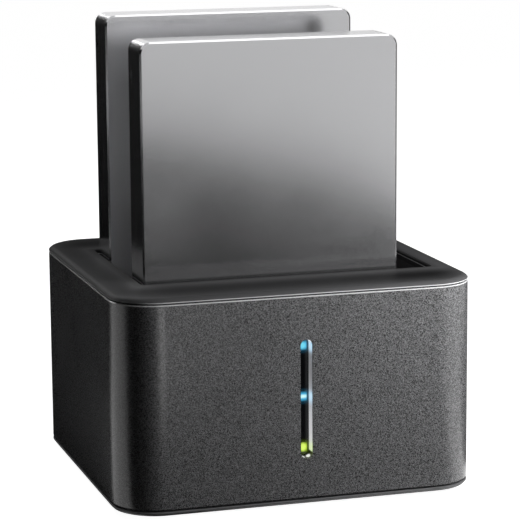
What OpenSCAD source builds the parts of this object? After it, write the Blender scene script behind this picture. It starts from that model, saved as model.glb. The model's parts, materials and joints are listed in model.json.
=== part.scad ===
// Two-bay docking station for 2.5 inch drives, with a drive docked in each bay.
// Millimetres. Z is up, the front faces -Y, the feet stand on Z = 0,
// and the origin is in the middle of the footprint.

/* [Housing] */
// Width of the housing
body_w = 97.2; // [95:0.2:116]
// Depth of the housing
body_d = 94.4; // [92:0.2:112]
// Radius of the upright corners
corner_r = 12; // [10:0.5:14]
// Height of the outer shell
shell_h = 53.4; // [52:0.2:66]
// Wall of the outer shell
shell_wall = 2.2; // [1.8:0.1:2.4]
// Chamfer along the shell's outer edges
shell_edge = 0.3; // [0.1:0.05:0.5]
// Height of the shadow groove above and below the shell
groove_h = 0.4; // [0.3:0.05:0.8]
// Depth of the shadow grooves
groove_depth = 0.9; // [0.5:0.1:1.2]
// Visible rim of the base under the shell
base_rim_h = 1; // [0.8:0.1:2]
// How far the base's floor stands up inside the shell
base_rise = 0.8; // [0.6:0.1:1.6]
// Wall of the locating rims inside the shell
rim_wall = 1.4; // [1:0.1:1.6]
// Height of the locating rims
rim_h = 3; // [2:0.5:5]

/* [Bezel and bay] */
// Height of the bezel above its groove
bezel_edge_h = 1.2; // [0.8:0.1:2]
// Radius of the bezel's crowned outer edge
bezel_crown_r = 2.2; // [1.8:0.1:6]
// Straight part of the bezel's outer edge
bezel_side_h = 0.3; // [0.2:0.05:0.5]
// How far the bezel's plate reaches down inside the shell
bezel_reach = 0.8; // [0.6:0.1:1.6]
// Chamfer of the bay's mouth
mouth_edge = 0.3; // [0.2:0.1:0.8]
// Radius of the bay's corners
bay_corner_r = 1.2; // [0.8:0.1:2]
// Room in the bay to the left of the drives
bay_gap_left = 0.9; // [0.6:0.1:2]
// Width of the bezel to the right of the bay
bezel_right_w = 6.2; // [6:0.1:8]
// Room in the bay before and behind the drives
bay_gap_ends = 1.9; // [1:0.1:2.4]
// Wall of the bay's well
well_wall = 1.6; // [1.2:0.1:2]
// Floor of the bay's well
well_floor = 2; // [1.6:0.1:3]
// Width of the flange at the top of the well
flange_w = 0.9; // [0.8:0.1:1.4]
// Thickness of that flange
flange_t = 1.5; // [1:0.1:2.5]
// Height of the drive guides above the well's floor
guide_h = 21; // [12:1:26]
// Thickness of the drive guides
guide_t = 1.2; // [0.8:0.1:1.6]
// How far a guide's lip reaches over a drive's edge
guide_lip = 3.4; // [2.4:0.2:6]

/* [Drives] */
// Width of a drive
drive_w = 69.85; // [69.6:0.05:70.1]
// Length of a drive
drive_l = 100; // [99:0.2:100.6]
// Height of a drive, which stands front to back here
drive_t = 12.5; // [9.5:0.1:13]
// Distance between the two drives
drive_pitch = 37.6; // [36:0.2:42]
// Sideways place of the drives' middle
drive_x = -1.7; // [-2.4:0.1:-1.4]
// How deep a drive sits below the bezel's top
drive_sunk = 37.6; // [34:0.2:38]
// How much higher the rear drive stands than the front one
rear_rise = 4; // [0:0.2:6]
// Radius of a drive's corners
drive_corner_r = 3; // [2:0.2:4]
// Chamfer round a drive's face
drive_edge = 0.45; // [0.2:0.05:0.8]
// Wall of a drive's case
case_wall = 1.5; // [1.3:0.1:1.8]
// Thickness of a drive's face
case_face = 1.2; // [0.8:0.1:1.6]
// Thickness of the cover on a drive's back
cover_t = 1; // [0.8:0.1:1.2]
// Width of the case's rim that shows round the cover
cover_inset = 0.75; // [0.6:0.05:1]
// Diameter of the screw holes in a drive's sides
side_hole_d = 3; // [2.5:0.1:3.2]
// Height of the side holes from a drive's back
side_hole_y = 3; // [2.8:0.1:3.4]
// Distance of the lower side holes from the connector end
side_hole_low = 14; // [13:0.5:16]
// Distance of the upper side holes from the far end
side_hole_far = 9.4; // [8:0.2:11]

/* [Drive connectors] */
// Sideways place of the connector from the drive's middle
plug_x = 4.8; // [2:0.2:6]
// Distance of the contact tongue from the drive's back
tongue_back = 3.5; // [3.4:0.05:3.6]
// Thickness of the contact tongues
tongue_t = 1.2; // [1:0.05:1.3]
// Length of the contact tongues
tongue_l = 4.4; // [4:0.1:4.8]
// Width of the data tongue
data_w = 10.4; // [9.6:0.1:10.8]
// Width of the power tongue
power_w = 20.6; // [19.8:0.1:21]
// Gap between the two tongues
tongue_gap = 2.4; // [2.2:0.1:3]
// Width of the keying leg at each tongue's outer end
key_w = 1.2; // [1:0.1:1.4]
// Reach of the keying legs behind the tongue
key_reach = 0.6; // [0.4:0.05:0.6]
// Spacing of the contacts
contact_pitch = 1.27; // [1.2:0.01:1.3]
// Width of a contact
contact_w = 0.6; // [0.4:0.05:0.7]
// Thickness of a socket's contact
contact_t = 0.35; // [0.25:0.05:0.4]
// Thickness of the contact pads on the tongues
pad_t = 0.15; // [0.1:0.05:0.2]
// Number of contacts on the data tongue
data_contacts = 7; // [5:1:7]
// Number of contacts on the power tongue
power_contacts = 15; // [11:1:15]

/* [Main board] */
// Room between the main board and the screw posts
board_side_gap = 1.5; // [1:0.1:3]
// Thickness of the circuit boards
board_t = 1.6; // [1.2:0.1:1.6]
// Height of the main board above the base's floor
board_gap = 1.8; // [1.4:0.1:2.4]
// Side of the bridge chip
bridge_side = 12; // [9:0.5:14]
// Diameter of the board's capacitors
capacitor_d = 6.3; // [5:0.1:6.4]
// Height of the board's capacitors
capacitor_h = 7.4; // [5:0.1:8]
// Side of the coils
coil_side = 7; // [5:0.5:7]

/* [Rear panel] */
// Height of the recess that holds the ports
recess_h = 13.2; // [12.8:0.1:14]
// Depth of that recess
recess_depth = 3.4; // [3.2:0.1:4]
// Distance of the power jack from the recess's end
jack_end = 11; // [7:0.5:12]
// Bore of the power jack
jack_bore_d = 6.4; // [6:0.1:6.6]
// Diameter of the power jack's centre pin
jack_pin_d = 2.1; // [1.6:0.1:2.5]
// Sideways place of the USB port
usb_x = -4; // [-6:0.5:-2]
// Distance of the power switch from the recess's end
switch_end = 11; // [9:0.5:12]
// Half of the power rocker's throw, in degrees
rocker_tilt = 11; // [8:0.5:12]
// Sideways place of the clone button
clone_x = 7; // [6:0.5:8]
// Diameter of the clone button
clone_d = 6; // [5:0.1:6.4]
// Travel of the clone button
clone_travel = 0.8; // [0.4:0.1:1]

/* [Status lights] */
// Sideways place of the light bar
light_x = 0.6; // [-4:0.1:4]
// How far the light bar's middle lies below the shell's middle
light_drop = 0.4; // [-1:0.1:1]
// Width of the light bar's slot
light_w = 3.3; // [2.8:0.1:4]
// Length of the light bar's slot
light_l = 31.4; // [30:0.2:34]
// Distance of the outer lights' middles from the slot's ends
light_margin = 2.2; // [2:0.1:4]
// Depth of the window below the front
window_depth = 3.4; // [3:0.1:4]
// Wall of the bright liner in the slot
liner_wall = 0.5; // [0.4:0.05:0.8]

/* [Feet and screws] */
// Diameter of the feet
foot_d = 9; // [7:0.5:10]
// How far the feet stand proud of the base
foot_proud = 1; // [0.8:0.1:2]
// How deep the feet are let into the base
foot_inset = 0.6; // [0.4:0.1:0.8]
// Diameter of the base screws' shanks
screw_d = 2.4; // [2:0.1:2.6]
// Diameter of the base screws' heads
screw_head_d = 5; // [4:0.1:5.4]
// Length of the base screws' shanks
screw_l = 16; // [12:1:20]

/* [Clearances] */
// Gap between parts that slide or swing past each other
run_gap = 0.35; // [0.3:0.05:0.4]
// Gap between parts that locate each other
fit_gap = 0.3; // [0.2:0.05:0.35]
// Gap round parts that are pushed into place
snug_gap = 0.05; // [0.03:0.01:0.1]

/* [Hidden] */
$fn = 64;
tiny = 0.01;

// Levels from the ground up
base_z = foot_proud;
base_rim_top = base_z + base_rim_h;
shell_z = base_rim_top + groove_h;
base_floor_top = shell_z + base_rise;
shell_top = shell_z + shell_h;
bezel_z = shell_top + groove_h;
bezel_top = bezel_z + bezel_edge_h;
bezel_under = shell_top - bezel_reach;
bezel_t = bezel_top - bezel_under;
drive_z = bezel_top - drive_sunk;
well_top = drive_z - fit_gap;
well_z = well_top - well_floor;
board_z = base_floor_top + board_gap;
board_top = board_z + board_t;

// Planes of the housing
front_y = -body_d / 2;
back_y = body_d / 2;
inner_w = body_w - 2 * shell_wall;
inner_d = body_d - 2 * shell_wall;
inner_r = corner_r - shell_wall;
plug_w = inner_w - 2 * fit_gap;
plug_d = inner_d - 2 * fit_gap;
plug_r = inner_r - fit_gap;
panel_y = back_y - recess_depth;
panel_in_y = panel_y - shell_wall;

// The bay and its well
bay_x0 = drive_x - drive_w / 2 - bay_gap_left;
bay_x1 = body_w / 2 - bezel_right_w;
bay_w = bay_x1 - bay_x0;
bay_d = drive_pitch + drive_t + 2 * bay_gap_ends;
bay_x = (bay_x0 + bay_x1) / 2;
flange_outer_w = bay_w + 2 * (well_wall + flange_w);
flange_outer_d = bay_d + 2 * (well_wall + flange_w);
flange_r = bay_corner_r + well_wall + flange_w;

// Front faces of the front and the rear drive
drive_faces = [-(drive_pitch + drive_t) / 2, (drive_pitch - drive_t) / 2];
// How high each drive stands above the lower level
drive_rises = [0, rear_rise];

// Drive connector, in a drive's own frame: face at Y 0, connector end at Z 0
tongue_y0 = drive_t - tongue_back - tongue_t / 2;
tongue_y1 = tongue_y0 + tongue_t;
key_y1 = tongue_y1 + key_reach;
tongue_tip = 0.6;
pad_inset = 0.5;
tongue_root = tongue_tip + tongue_l;
tongues_w = data_w + tongue_gap + power_w;
data_x0 = plug_x - tongues_w / 2;
power_x0 = data_x0 + data_w + tongue_gap;
slot_y0 = tongue_y0 - pad_t - fit_gap - contact_t;
slot_y1 = tongue_y1 + run_gap;
nose_wall = 0.65;
nose_y0 = slot_y0 - nose_wall;
nose_y1 = key_y1 + run_gap + nose_wall;
nose_w = tongues_w + 2 * run_gap + 4 * nose_wall;
nose_top = tongue_root - fit_gap - 0.2;
port_w = nose_w + 2 * run_gap;
port_y0 = nose_y0 - run_gap;
port_y1 = drive_t - cover_t;
plug_block_h = 4.4;
data_contact_x = [for (i = [0:data_contacts - 1])
    data_x0 + data_w / 2 + (i - (data_contacts - 1) / 2) * contact_pitch];
power_contact_x = [for (i = [0:power_contacts - 1])
    power_x0 + power_w / 2 + (i - (power_contacts - 1) / 2) * contact_pitch];
contact_x = concat(data_contact_x, power_contact_x);

// Socket on the main board, in the same frame
shoulder_ends = 1.8;
shoulder_sides = 0.65;
foot_block_w = nose_w + 2 * shoulder_ends;
foot_block_y0 = nose_y0 - shoulder_sides;
foot_block_y1 = nose_y1 + shoulder_sides;
foot_block_top = -0.8;
slot_bottom = tongue_tip - fit_gap - 0.3;
socket_z = [for (rise = drive_rises) board_top - drive_z - rise];
contact_top = nose_top - 0.5;
contact_foot = 1.2;

// Inside a drive
cavity_w = drive_w - 2 * case_wall;
cavity_l = drive_l - 2 * case_wall;
cavity_r = drive_corner_r - case_wall;
cover_w = drive_w - 2 * cover_inset;
cover_l = drive_l - 2 * cover_inset;
cover_r = drive_corner_r - cover_inset;
cover_y = drive_t - cover_t;
side_hole_z = [side_hole_low, drive_l - side_hole_far];
post_d = 5;
post_in = 1.6;
post_above = 8;
post_x = cavity_w / 2 - post_in;
post_z = [side_hole_low + post_above, drive_l - case_wall - post_in];
side_boss_rim = 1;
side_hole_l = 3;
side_boss_l = side_hole_l + 1.2;
card_t = 1;
card_y0 = tongue_y0 + (tongue_t - card_t) / 2;
card_gap = 1.3;
card_w = 2 * (post_x - post_d / 2 - card_gap);
card_z0 = tongue_root + plug_block_h;
card_l = 56;
card_boss_d = 4;
card_boss_in = 3.5;
card_boss_x = card_w / 2 - card_boss_in;
card_boss_z = card_z0 + card_l - card_boss_in;
chip_t = 1;
controller_side = 14;
controller_z = 8;
memory_w = 18;
memory_l = 11;
memory_x = 11.5;
memory_z = [27, 41];
cover_screw_d = 1.6;
cover_screw_l = 4;
cover_pilot_d = cover_screw_d + 0.2;
cover_hole_d = cover_screw_d + 0.4;
cover_head_d = 3;
cover_sink_d = cover_head_d + 0.3;
cover_head_h = 0.6;

// Light bar
light_z = shell_z + shell_h / 2 - light_drop;
lip_t = 0.6;
liner_y0 = front_y + lip_t;
window_y0 = front_y + window_depth;
window_t = 1.2;
window_y1 = window_y0 + window_t;
front_in_y = front_y + shell_wall;
holder_t = 1;
holder_w = 10;
holder_r = 2;
holder_end = 5.9;
holder_l = light_l + 2 * holder_end;
holder_post_d = 4.4;
holder_post_z = holder_l / 2 - 2.6;
card_front_y = window_y1 + 1;
light_card_t = 1.2;
light_card_r = 1;
light_pitch = light_l / 2 - light_margin;
lens_w = light_w - 0.8;
lens_l = 3.2;
lens_r = lens_w / 2 - 0.3;
lamp_w = 1.8;
lamp_l = 2.4;
lamp_t = 0.8;
light_screw_d = 1.4;
light_screw_l = 2.6;
light_pilot_d = light_screw_d + 0.1;
light_hole_d = light_screw_d + 0.3;
light_head_d = 2.6;
light_head_h = 1;
light_card_back = card_front_y + light_card_t;
light_card_gap = 1.2;
light_card_top = light_z + holder_l / 2;

// Screw posts, board bosses and well supports
screw_in = 10;
screw_x = body_w / 2 - screw_in;
screw_y = (flange_outer_d / 2 + inner_d / 2) / 2;
screw_post_d = 8;
screw_post_h = 8.8;
screw_post_top = base_floor_top + screw_post_h;
screw_boss_d = 7;
screw_pilot_d = screw_d + 0.2;
screw_hole_d = screw_d + 0.6;
screw_head_h = 1.8;
screw_seat_z = base_floor_top + 1;
screw_sink_d = screw_head_d + 0.8;
foot_from_side = 21.5;
foot_from_end = 9;
foot_x = body_w / 2 - foot_from_side;
foot_y = body_d / 2 - foot_from_end;
foot_edge = 0.3;
board_w = 2 * (screw_x - screw_post_d / 2 - board_side_gap);
board_edge_gap = 0.4;
board_screw_in = 3.5;
board_y0 = light_card_back + light_card_gap;
board_y1 = panel_in_y - board_edge_gap;
board_screw_x = board_w / 2 - board_screw_in;
board_screw_y = [board_y0 + board_screw_in, 25];
board_screw_d = 1.8;
board_pilot_d = board_screw_d + 0.2;
board_hole_d = board_screw_d + 0.4;
board_head_d = 3.8;
board_head_h = 1.2;
board_boss_d = 5.4;
support_d = 5;
support_x = board_w / 2 + support_d / 2 + fit_gap;
support_y = 12;

// Parts on the main board
bridge_at = [-9, 2];
bridge_t = 1.2;
bridge_corner = 0.4;
flash_at = [6, 6];
flash_w = 5;
flash_d = 4;
flash_t = 1.5;
flash_leads = 4;
chip_lift = 0.2;
lead_w = 0.5;
lead_l = 1;
lead_t = 0.3;
crystal_at = [5.5, -3.5];
crystal_w = 5;
crystal_d = 3.2;
crystal_t = 1.1;
crystal_corner = 0.6;
capacitor_in = 5.2;
capacitor_x = [-20, -12, 14];
capacitor_at = [for (x = capacitor_x) [x, board_y0 + capacitor_in]];
capacitor_foot = 0.8;
power_y = [-4, 6];
coil_x = 22;
coil_h = 3.6;
coil_corner = 1.2;
regulator_x = 13;
regulator_w = 3.6;
regulator_d = 6.4;
regulator_t = 1.7;
regulator_tab = 3.2;
regulator_pitch = 2.2;
passive_x = -15;
passive_y = [-10, 12];
passive_columns = 6;
passive_pitch = 4;
passive_l = 1.6;
passive_w = 0.8;
passive_t = 0.7;

// Header between the light board and the main board
header_pins = 2;
header_pitch = 1.6;
header_pin_w = 0.6;
header_middle = light_head_d + 2 * fit_gap;
header_w = header_middle + 2 * header_pins * header_pitch;
header_d = 2.4;
header_rise = 1;
header_z = board_top + header_rise;
header_top = header_z + header_rise;
header_y = board_y0 + header_pin_w;

// Rear ports
recess_z0 = base_floor_top + fit_gap + shell_wall;
recess_z1 = recess_z0 + recess_h;
recess_w = 2 * (screw_x - screw_post_d / 2 - shell_wall - fit_gap);
recess_r = 1.6;
jack_x = recess_w / 2 - jack_end;
switch_x = switch_end - recess_w / 2;
jack_w = 9;
jack_h = 10.8;
jack_l = 12.4;
jack_inset = 0.2;
jack_face_y = panel_y - jack_inset;
jack_z = board_top + 6.3;
jack_bore_l = 9.5;
jack_pin_l = 8.6;
usb_w = 8.9;
usb_h = 3.2;
usb_wall = 0.3;
usb_l = 8.6;
usb_inset = 0.4;
usb_face_y = panel_y - usb_inset;
usb_z = board_top + usb_h / 2;
usb_tongue_w = 6.7;
usb_tongue_t = 0.7;
usb_tongue_r = 0.3;
usb_tongue_l = 6.8;
switch_w = 14.2;
switch_h = 9.4;
switch_proud = 0.6;
switch_face_y = panel_y + switch_proud;
switch_l = 10.2;
switch_z = board_top + switch_h / 2;
rocker_half = 5.6;
rocker_mid = 1.2;
rocker_end = rocker_mid + rocker_half * tan(rocker_tilt);
rocker_deep = 2.2;
rocker_foot = rocker_half - 0.4;
rocker_h = switch_h - 2.2;
pressed_face = rocker_mid * cos(rocker_tilt);
pivot_y = switch_face_y + fit_gap - pressed_face;
pivot_d = 2;
pivot_l = 0.4;
cavity_half = rocker_half * cos(rocker_tilt) + rocker_end * sin(rocker_tilt) + run_gap;
cavity_deep = pivot_y - rocker_deep - rocker_foot * sin(rocker_tilt) - run_gap;
terminal_w = 0.8;
terminal_t = 0.6;
terminal_l = 1.4;
terminal_pitch = 4;
clone_face_y = back_y - 0.8;
clone_flange_t = 1.1;
clone_flange_d = clone_d + 2;
clone_z = board_top + clone_flange_d / 2 + 0.5;
clone_flange_y = panel_in_y - fit_gap;
key_stem_d = 3;
tact_w = 6.4;
tact_h = 7.6;
tact_l = 4;
tact_gap = 2.4;
tact_face_y = clone_flange_y - clone_flange_t - tact_gap;
plunger_out = 0.8 + clone_travel;
plunger_in = 1;
plunger_end_y = tact_face_y + plunger_out;

// A box between two corners
module block(low, high) {
    translate(low) cube(high - low);
}

// A rectangle with round corners
module round_rect(w, d, r) {
    square([w - 2 * r, d], center = true);
    square([w, d - 2 * r], center = true);
    for (x = [-1, 1], y = [-1, 1])
        translate([x * (w / 2 - r), y * (d / 2 - r)]) circle(r);
}

// An upright slab with round corners, standing on z
module slab(w, d, r, z, h) {
    translate([0, 0, z]) linear_extrude(h) round_rect(w, d, r);
}

// A slab whose outer edge follows a profile: X out from the corner's centre, Y up
module edged_slab(w, d, r, h) {
    run_x = w - 2 * r;
    run_y = d - 2 * r;
    translate([0, 0, h / 2]) cube([run_x, run_y, h], center = true);
    for (turn = [0, 180]) rotate(turn) {
        translate([0, run_y / 2, 0]) rotate([90, 0, 90])
            linear_extrude(run_x, center = true) children();
        translate([run_x / 2, 0, 0]) rotate([90, 0, 0])
            linear_extrude(run_y, center = true) children();
    }
    for (x = [0, 1], y = [0, 1]) mirror([x, 0, 0]) mirror([0, y, 0])
        translate([run_x / 2, run_y / 2, 0]) rotate_extrude(angle = 90) children();
}

// Edge profile with a chamfer at the bottom and at the top
module chamfer_profile(r, h, low, high) {
    polygon([[0, 0], [r - low, 0], [r, low], [r, h - high], [r - high, h], [0, h]]);
}

// Edge profile that rises straight and then rounds over to the top
module crown_profile(r, h, side_h, crown_r) {
    drop = h - side_h;
    run = sqrt(crown_r * crown_r - (crown_r - drop) * (crown_r - drop));
    square([r - run, h]);
    intersection() {
        square([r, h]);
        union() {
            square([r, side_h]);
            translate([r - run, h - crown_r]) circle(crown_r);
        }
    }
}

// A shape drawn in X and Z, standing along Y from y0 for a length
module upright(y0, length) {
    translate([0, y0 + length, 0]) rotate([90, 0, 0]) linear_extrude(length) children();
}

// A slot outline with round ends, upright
module stadium(w, l) {
    square([w, l - w], center = true);
    for (z = [-1, 1]) translate([0, z * (l - w) / 2]) circle(w / 2);
}

// A round bar along Y
module bar_y(d, y0, length) {
    translate([0, y0, 0]) rotate([-90, 0, 0]) cylinder(d = d, h = length);
}

module at_corners(x, y) {
    for (sx = [-1, 1], sy = [-1, 1]) translate([sx * x, sy * y, 0]) children();
}

// Places a drive's own frame in its bay: 0 is the front bay, 1 the rear bay
module at_drive(bay) {
    translate([drive_x, drive_faces[bay], drive_z + drive_rises[bay]]) children();
}

// Places a shape on the main board
module on_board(place) {
    translate([place[0], place[1], board_top]) children();
}

// Places a shape at the light bar
module at_lights() {
    translate([light_x, 0, light_z]) children();
}

// Housing

module outer_shell() color("#37383b") difference() {
    union() {
        difference() {
            translate([0, 0, shell_z]) edged_slab(body_w, body_d, corner_r, shell_h)
                chamfer_profile(corner_r, shell_h, shell_edge, shell_edge);
            slab(inner_w, inner_d, inner_r, shell_z - 1, shell_h + 2);
        }
        block([-recess_w / 2 - shell_wall, panel_in_y, recess_z0 - shell_wall],
              [recess_w / 2 + shell_wall, back_y - shell_wall / 2, recess_z1 + shell_wall]);
    }
    translate([0, 0, (recess_z0 + recess_z1) / 2]) upright(panel_y, recess_depth + 1)
        round_rect(recess_w, recess_h, recess_r);
    port_cuts();
    at_lights() {
        upright(front_y - 1, shell_wall + 2) stadium(light_w, light_l);
        upright(liner_y0, shell_wall)
            stadium(light_w + 2 * liner_wall + 2 * snug_gap, light_l + 2 * liner_wall + 2 * snug_gap);
    }
}

// Openings in the rear panel, each a little larger than its port
module port_cuts() {
    cut_y = panel_in_y - 1;
    cut_l = shell_wall + 2;
    translate([jack_x, 0, board_top + jack_h / 2]) upright(cut_y, cut_l)
        square([jack_w + 2 * fit_gap, jack_h + 2 * fit_gap], center = true);
    translate([usb_x, 0, usb_z]) upright(cut_y, cut_l)
        rotate(90) stadium(usb_h + 2 * fit_gap, usb_w + 2 * fit_gap);
    translate([switch_x, 0, switch_z]) upright(cut_y, cut_l)
        square([switch_w + 2 * fit_gap, switch_h + 2 * fit_gap], center = true);
    translate([clone_x, 0, clone_z]) bar_y(clone_d + 2 * fit_gap, cut_y, cut_l);
}

module top_bezel() color("#2b2c2f") difference() {
    union() {
        translate([0, 0, bezel_z]) edged_slab(body_w, body_d, corner_r, bezel_edge_h)
            crown_profile(corner_r, bezel_edge_h, bezel_side_h, bezel_crown_r);
        slab(body_w - 2 * groove_depth, body_d - 2 * groove_depth, corner_r - groove_depth,
             shell_top, groove_h + tiny);
        slab(plug_w, plug_d, plug_r, bezel_under, shell_top - bezel_under + tiny);
        difference() {
            slab(plug_w, plug_d, plug_r, bezel_under - rim_h, rim_h + tiny);
            slab(plug_w - 2 * rim_wall, plug_d - 2 * rim_wall, plug_r - rim_wall,
                 bezel_under - rim_h - 1, rim_h + 1);
            translate([bay_x, 0, 0]) slab(flange_outer_w + 2 * fit_gap, flange_outer_d + 2 * fit_gap,
                flange_r + fit_gap, bezel_under - rim_h - 1, rim_h + 1);
            holder_notch(bezel_under - rim_h - 1, bezel_under);
        }
        at_corners(screw_x, screw_y) translate([0, 0, screw_post_top])
            cylinder(d = screw_boss_d, h = bezel_under - screw_post_top + tiny);
    }
    translate([bay_x, 0, bezel_under - 1]) edged_slab(bay_w, bay_d, bay_corner_r, bezel_t + 2)
        mouth_profile(bay_corner_r, bezel_t + 1, mouth_edge);
    at_corners(screw_x, screw_y) translate([0, 0, screw_post_top - 1])
        cylinder(d = screw_pilot_d, h = screw_l + 1);
}

// Gap in a locating rim, where the light bar's holder stands
module holder_notch(z0, z1) {
    block([light_x - holder_w / 2 - fit_gap, front_y, z0], [light_x + holder_w / 2 + fit_gap, 0, z1]);
}

// Edge profile of the cut for the bay's mouth, flared at the height of the top face
module mouth_profile(r, h, flare) {
    polygon([[0, 0], [r, 0], [r, h - flare], [r + flare, h], [r + flare, h + 1], [0, h + 1]]);
}

module bay_well() color("#151517") {
    difference() {
        union() {
            difference() {
                union() {
                    translate([bay_x, 0, 0]) slab(bay_w + 2 * well_wall, bay_d + 2 * well_wall,
                        bay_corner_r + well_wall, well_z, bezel_under - well_z);
                    translate([bay_x, 0, 0]) slab(flange_outer_w, flange_outer_d, flange_r,
                        bezel_under - flange_t, flange_t);
                }
                translate([bay_x, 0, 0])
                    slab(bay_w, bay_d, bay_corner_r, well_top, bezel_under - well_top + 1);
            }
            rear_step();
        }
        for (bay = [0, 1]) at_drive(bay)
            block([plug_x - foot_block_w / 2 - fit_gap, foot_block_y0 - fit_gap, socket_z[bay]],
                  [plug_x + foot_block_w / 2 + fit_gap, foot_block_y1 + fit_gap, 1]);
    }
    for (bay = [0, 1]) drive_guides(bay);
}

// Raised floor under the rear drive
module rear_step() {
    block([bay_x0 - tiny, drive_faces[1] - run_gap - guide_t, well_top - tiny],
          [drive_x + drive_w / 2 + run_gap + guide_t, bay_d / 2 + tiny, well_top + rear_rise]);
}

// Upright guides that hold a drive by its two long edges
module drive_guides(bay) {
    face = drive_faces[bay];
    guide_top = well_top + drive_rises[bay] + guide_h;
    left = drive_x - drive_w / 2;
    right = drive_x + drive_w / 2;
    before = [bay == 0 ? -bay_d / 2 : face - run_gap - guide_t, face - run_gap];
    behind = [face + drive_t + run_gap,
              bay == 1 ? bay_d / 2 : face + drive_t + run_gap + guide_t];
    for (span = [before, behind]) {
        block([bay_x0 - tiny, span[0] - tiny, well_top - tiny], [left + guide_lip, span[1], guide_top]);
        block([right - guide_lip, span[0] - tiny, well_top - tiny],
              [right + run_gap + guide_t, span[1], guide_top]);
    }
    block([right + run_gap, before[0], well_top - tiny], [right + run_gap + guide_t, behind[1], guide_top]);
}

module base_cover() color("#26272a") difference() {
    union() {
        translate([0, 0, base_z]) edged_slab(body_w, body_d, corner_r, base_rim_h)
            chamfer_profile(corner_r, base_rim_h, base_rim_h / 2, shell_edge / 2);
        slab(body_w - 2 * groove_depth, body_d - 2 * groove_depth, corner_r - groove_depth,
             base_rim_top - tiny, groove_h + tiny);
        slab(plug_w, plug_d, plug_r, shell_z - tiny, base_floor_top - shell_z + tiny);
        difference() {
            slab(plug_w, plug_d, plug_r, base_floor_top - tiny, rim_h);
            slab(plug_w - 2 * rim_wall, plug_d - 2 * rim_wall, plug_r - rim_wall,
                 base_floor_top - 1, rim_h + 2);
            block([-recess_w / 2 - shell_wall - fit_gap, 0, base_floor_top],
                  [recess_w / 2 + shell_wall + fit_gap, back_y, base_floor_top + rim_h]);
            holder_notch(base_floor_top, base_floor_top + rim_h);
        }
        at_corners(screw_x, screw_y) translate([0, 0, base_floor_top - tiny])
            cylinder(d = screw_post_d, h = screw_post_top - base_floor_top + tiny);
        for (x = [-1, 1], y = board_screw_y) translate([x * board_screw_x, y, base_floor_top - tiny])
            cylinder(d = board_boss_d, h = board_gap + tiny);
        at_corners(support_x, support_y) translate([0, 0, base_floor_top - tiny])
            cylinder(d = support_d, h = well_z - base_floor_top + tiny);
    }
    at_corners(screw_x, screw_y) {
        translate([0, 0, base_z - 1]) cylinder(d = screw_sink_d, h = screw_seat_z - base_z + 1);
        translate([0, 0, base_z]) cylinder(d = screw_hole_d, h = screw_post_top - base_z + 1);
    }
    at_corners(foot_x, foot_y) translate([0, 0, base_z - 1])
        cylinder(d = foot_d + 2 * snug_gap, h = 1 + foot_inset);
    for (x = [-1, 1], y = board_screw_y) translate([x * board_screw_x, y, base_floor_top])
        cylinder(d = board_pilot_d, h = board_gap + 1);
}

module rubber_feet() color("#1c1c1e") at_corners(foot_x, foot_y) rotate_extrude()
    polygon([[0, 0], [foot_d / 2 - foot_edge, 0], [foot_d / 2, foot_edge],
             [foot_d / 2, foot_proud + foot_inset], [0, foot_proud + foot_inset]]);

// A screw that points up, with its head's seat at Z 0
module screw(d, length, head_d, head_h) {
    translate([0, 0, -head_h / 2]) cylinder(d = d, h = length + head_h / 2);
    translate([0, 0, -head_h]) cylinder(d = head_d, h = head_h);
}

module base_screws() color("#8d8f93") at_corners(screw_x, screw_y)
    translate([0, 0, screw_seat_z]) screw(screw_d, screw_l, screw_head_d, screw_head_h);

// Main board and what it carries

module main_board() color("#1f4d36") difference() {
    block([-board_w / 2, board_y0, board_z], [board_w / 2, board_y1, board_top]);
    for (x = [-1, 1], y = board_screw_y) translate([x * board_screw_x, y, board_z - 1])
        cylinder(d = board_hole_d, h = board_t + 2);
}

module board_screws() color("#a5a7ab")
    for (x = [-1, 1], y = board_screw_y) translate([x * board_screw_x, y, board_top])
        mirror([0, 0, 1])
            screw(board_screw_d, board_t + board_gap - fit_gap, board_head_d, board_head_h);

module bridge_chip() color("#17181a") on_board(bridge_at) linear_extrude(bridge_t)
    round_rect(bridge_side, bridge_side, bridge_corner);

module flash_chip() color("#17181a") on_board(flash_at) {
    block([-flash_w / 2, -flash_d / 2, chip_lift], [flash_w / 2, flash_d / 2, chip_lift + flash_t]);
    for (i = [0:flash_leads - 1], side = [0, 1]) mirror([0, side, 0])
        translate([(i - (flash_leads - 1) / 2) * contact_pitch - lead_w / 2, flash_d / 2 - tiny, 0])
            cube([lead_w, lead_l, chip_lift + lead_t]);
}

module crystal() color("#b9bbbf") on_board(crystal_at) linear_extrude(crystal_t)
    round_rect(crystal_w, crystal_d, crystal_corner);

module board_capacitors() color("#9a9ca0") for (place = capacitor_at) on_board(place) {
    translate([-capacitor_d / 2, -capacitor_d / 2, 0])
        cube([capacitor_d, capacitor_d, capacitor_foot + tiny]);
    translate([0, 0, capacitor_foot]) cylinder(d = capacitor_d, h = capacitor_h - capacitor_foot);
}

module board_coils() color("#4a4b4d") for (y = power_y) on_board([coil_x, y])
    linear_extrude(coil_h) round_rect(coil_side, coil_side, coil_corner);

module board_regulators() color("#202124") for (y = power_y) on_board([regulator_x, y]) {
    block([-regulator_w / 2, -regulator_d / 2, 0], [regulator_w / 2, regulator_d / 2, regulator_t]);
    translate([regulator_w / 2 - tiny, -regulator_tab / 2, 0]) cube([lead_l + tiny, regulator_tab, lead_t]);
    for (i = [-1, 0, 1])
        translate([-regulator_w / 2 - lead_l, i * regulator_pitch - lead_w / 2, 0])
            cube([lead_l + tiny, lead_w, lead_t]);
}

module board_passives() color("#a08c6a")
    for (column = [0:passive_columns - 1], y = passive_y)
        on_board([passive_x + column * passive_pitch, y])
            block([-passive_l / 2, -passive_w / 2, 0], [passive_l / 2, passive_w / 2, passive_t]);

// Drive socket: a block on the board and a nose with two keyed slots

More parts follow.
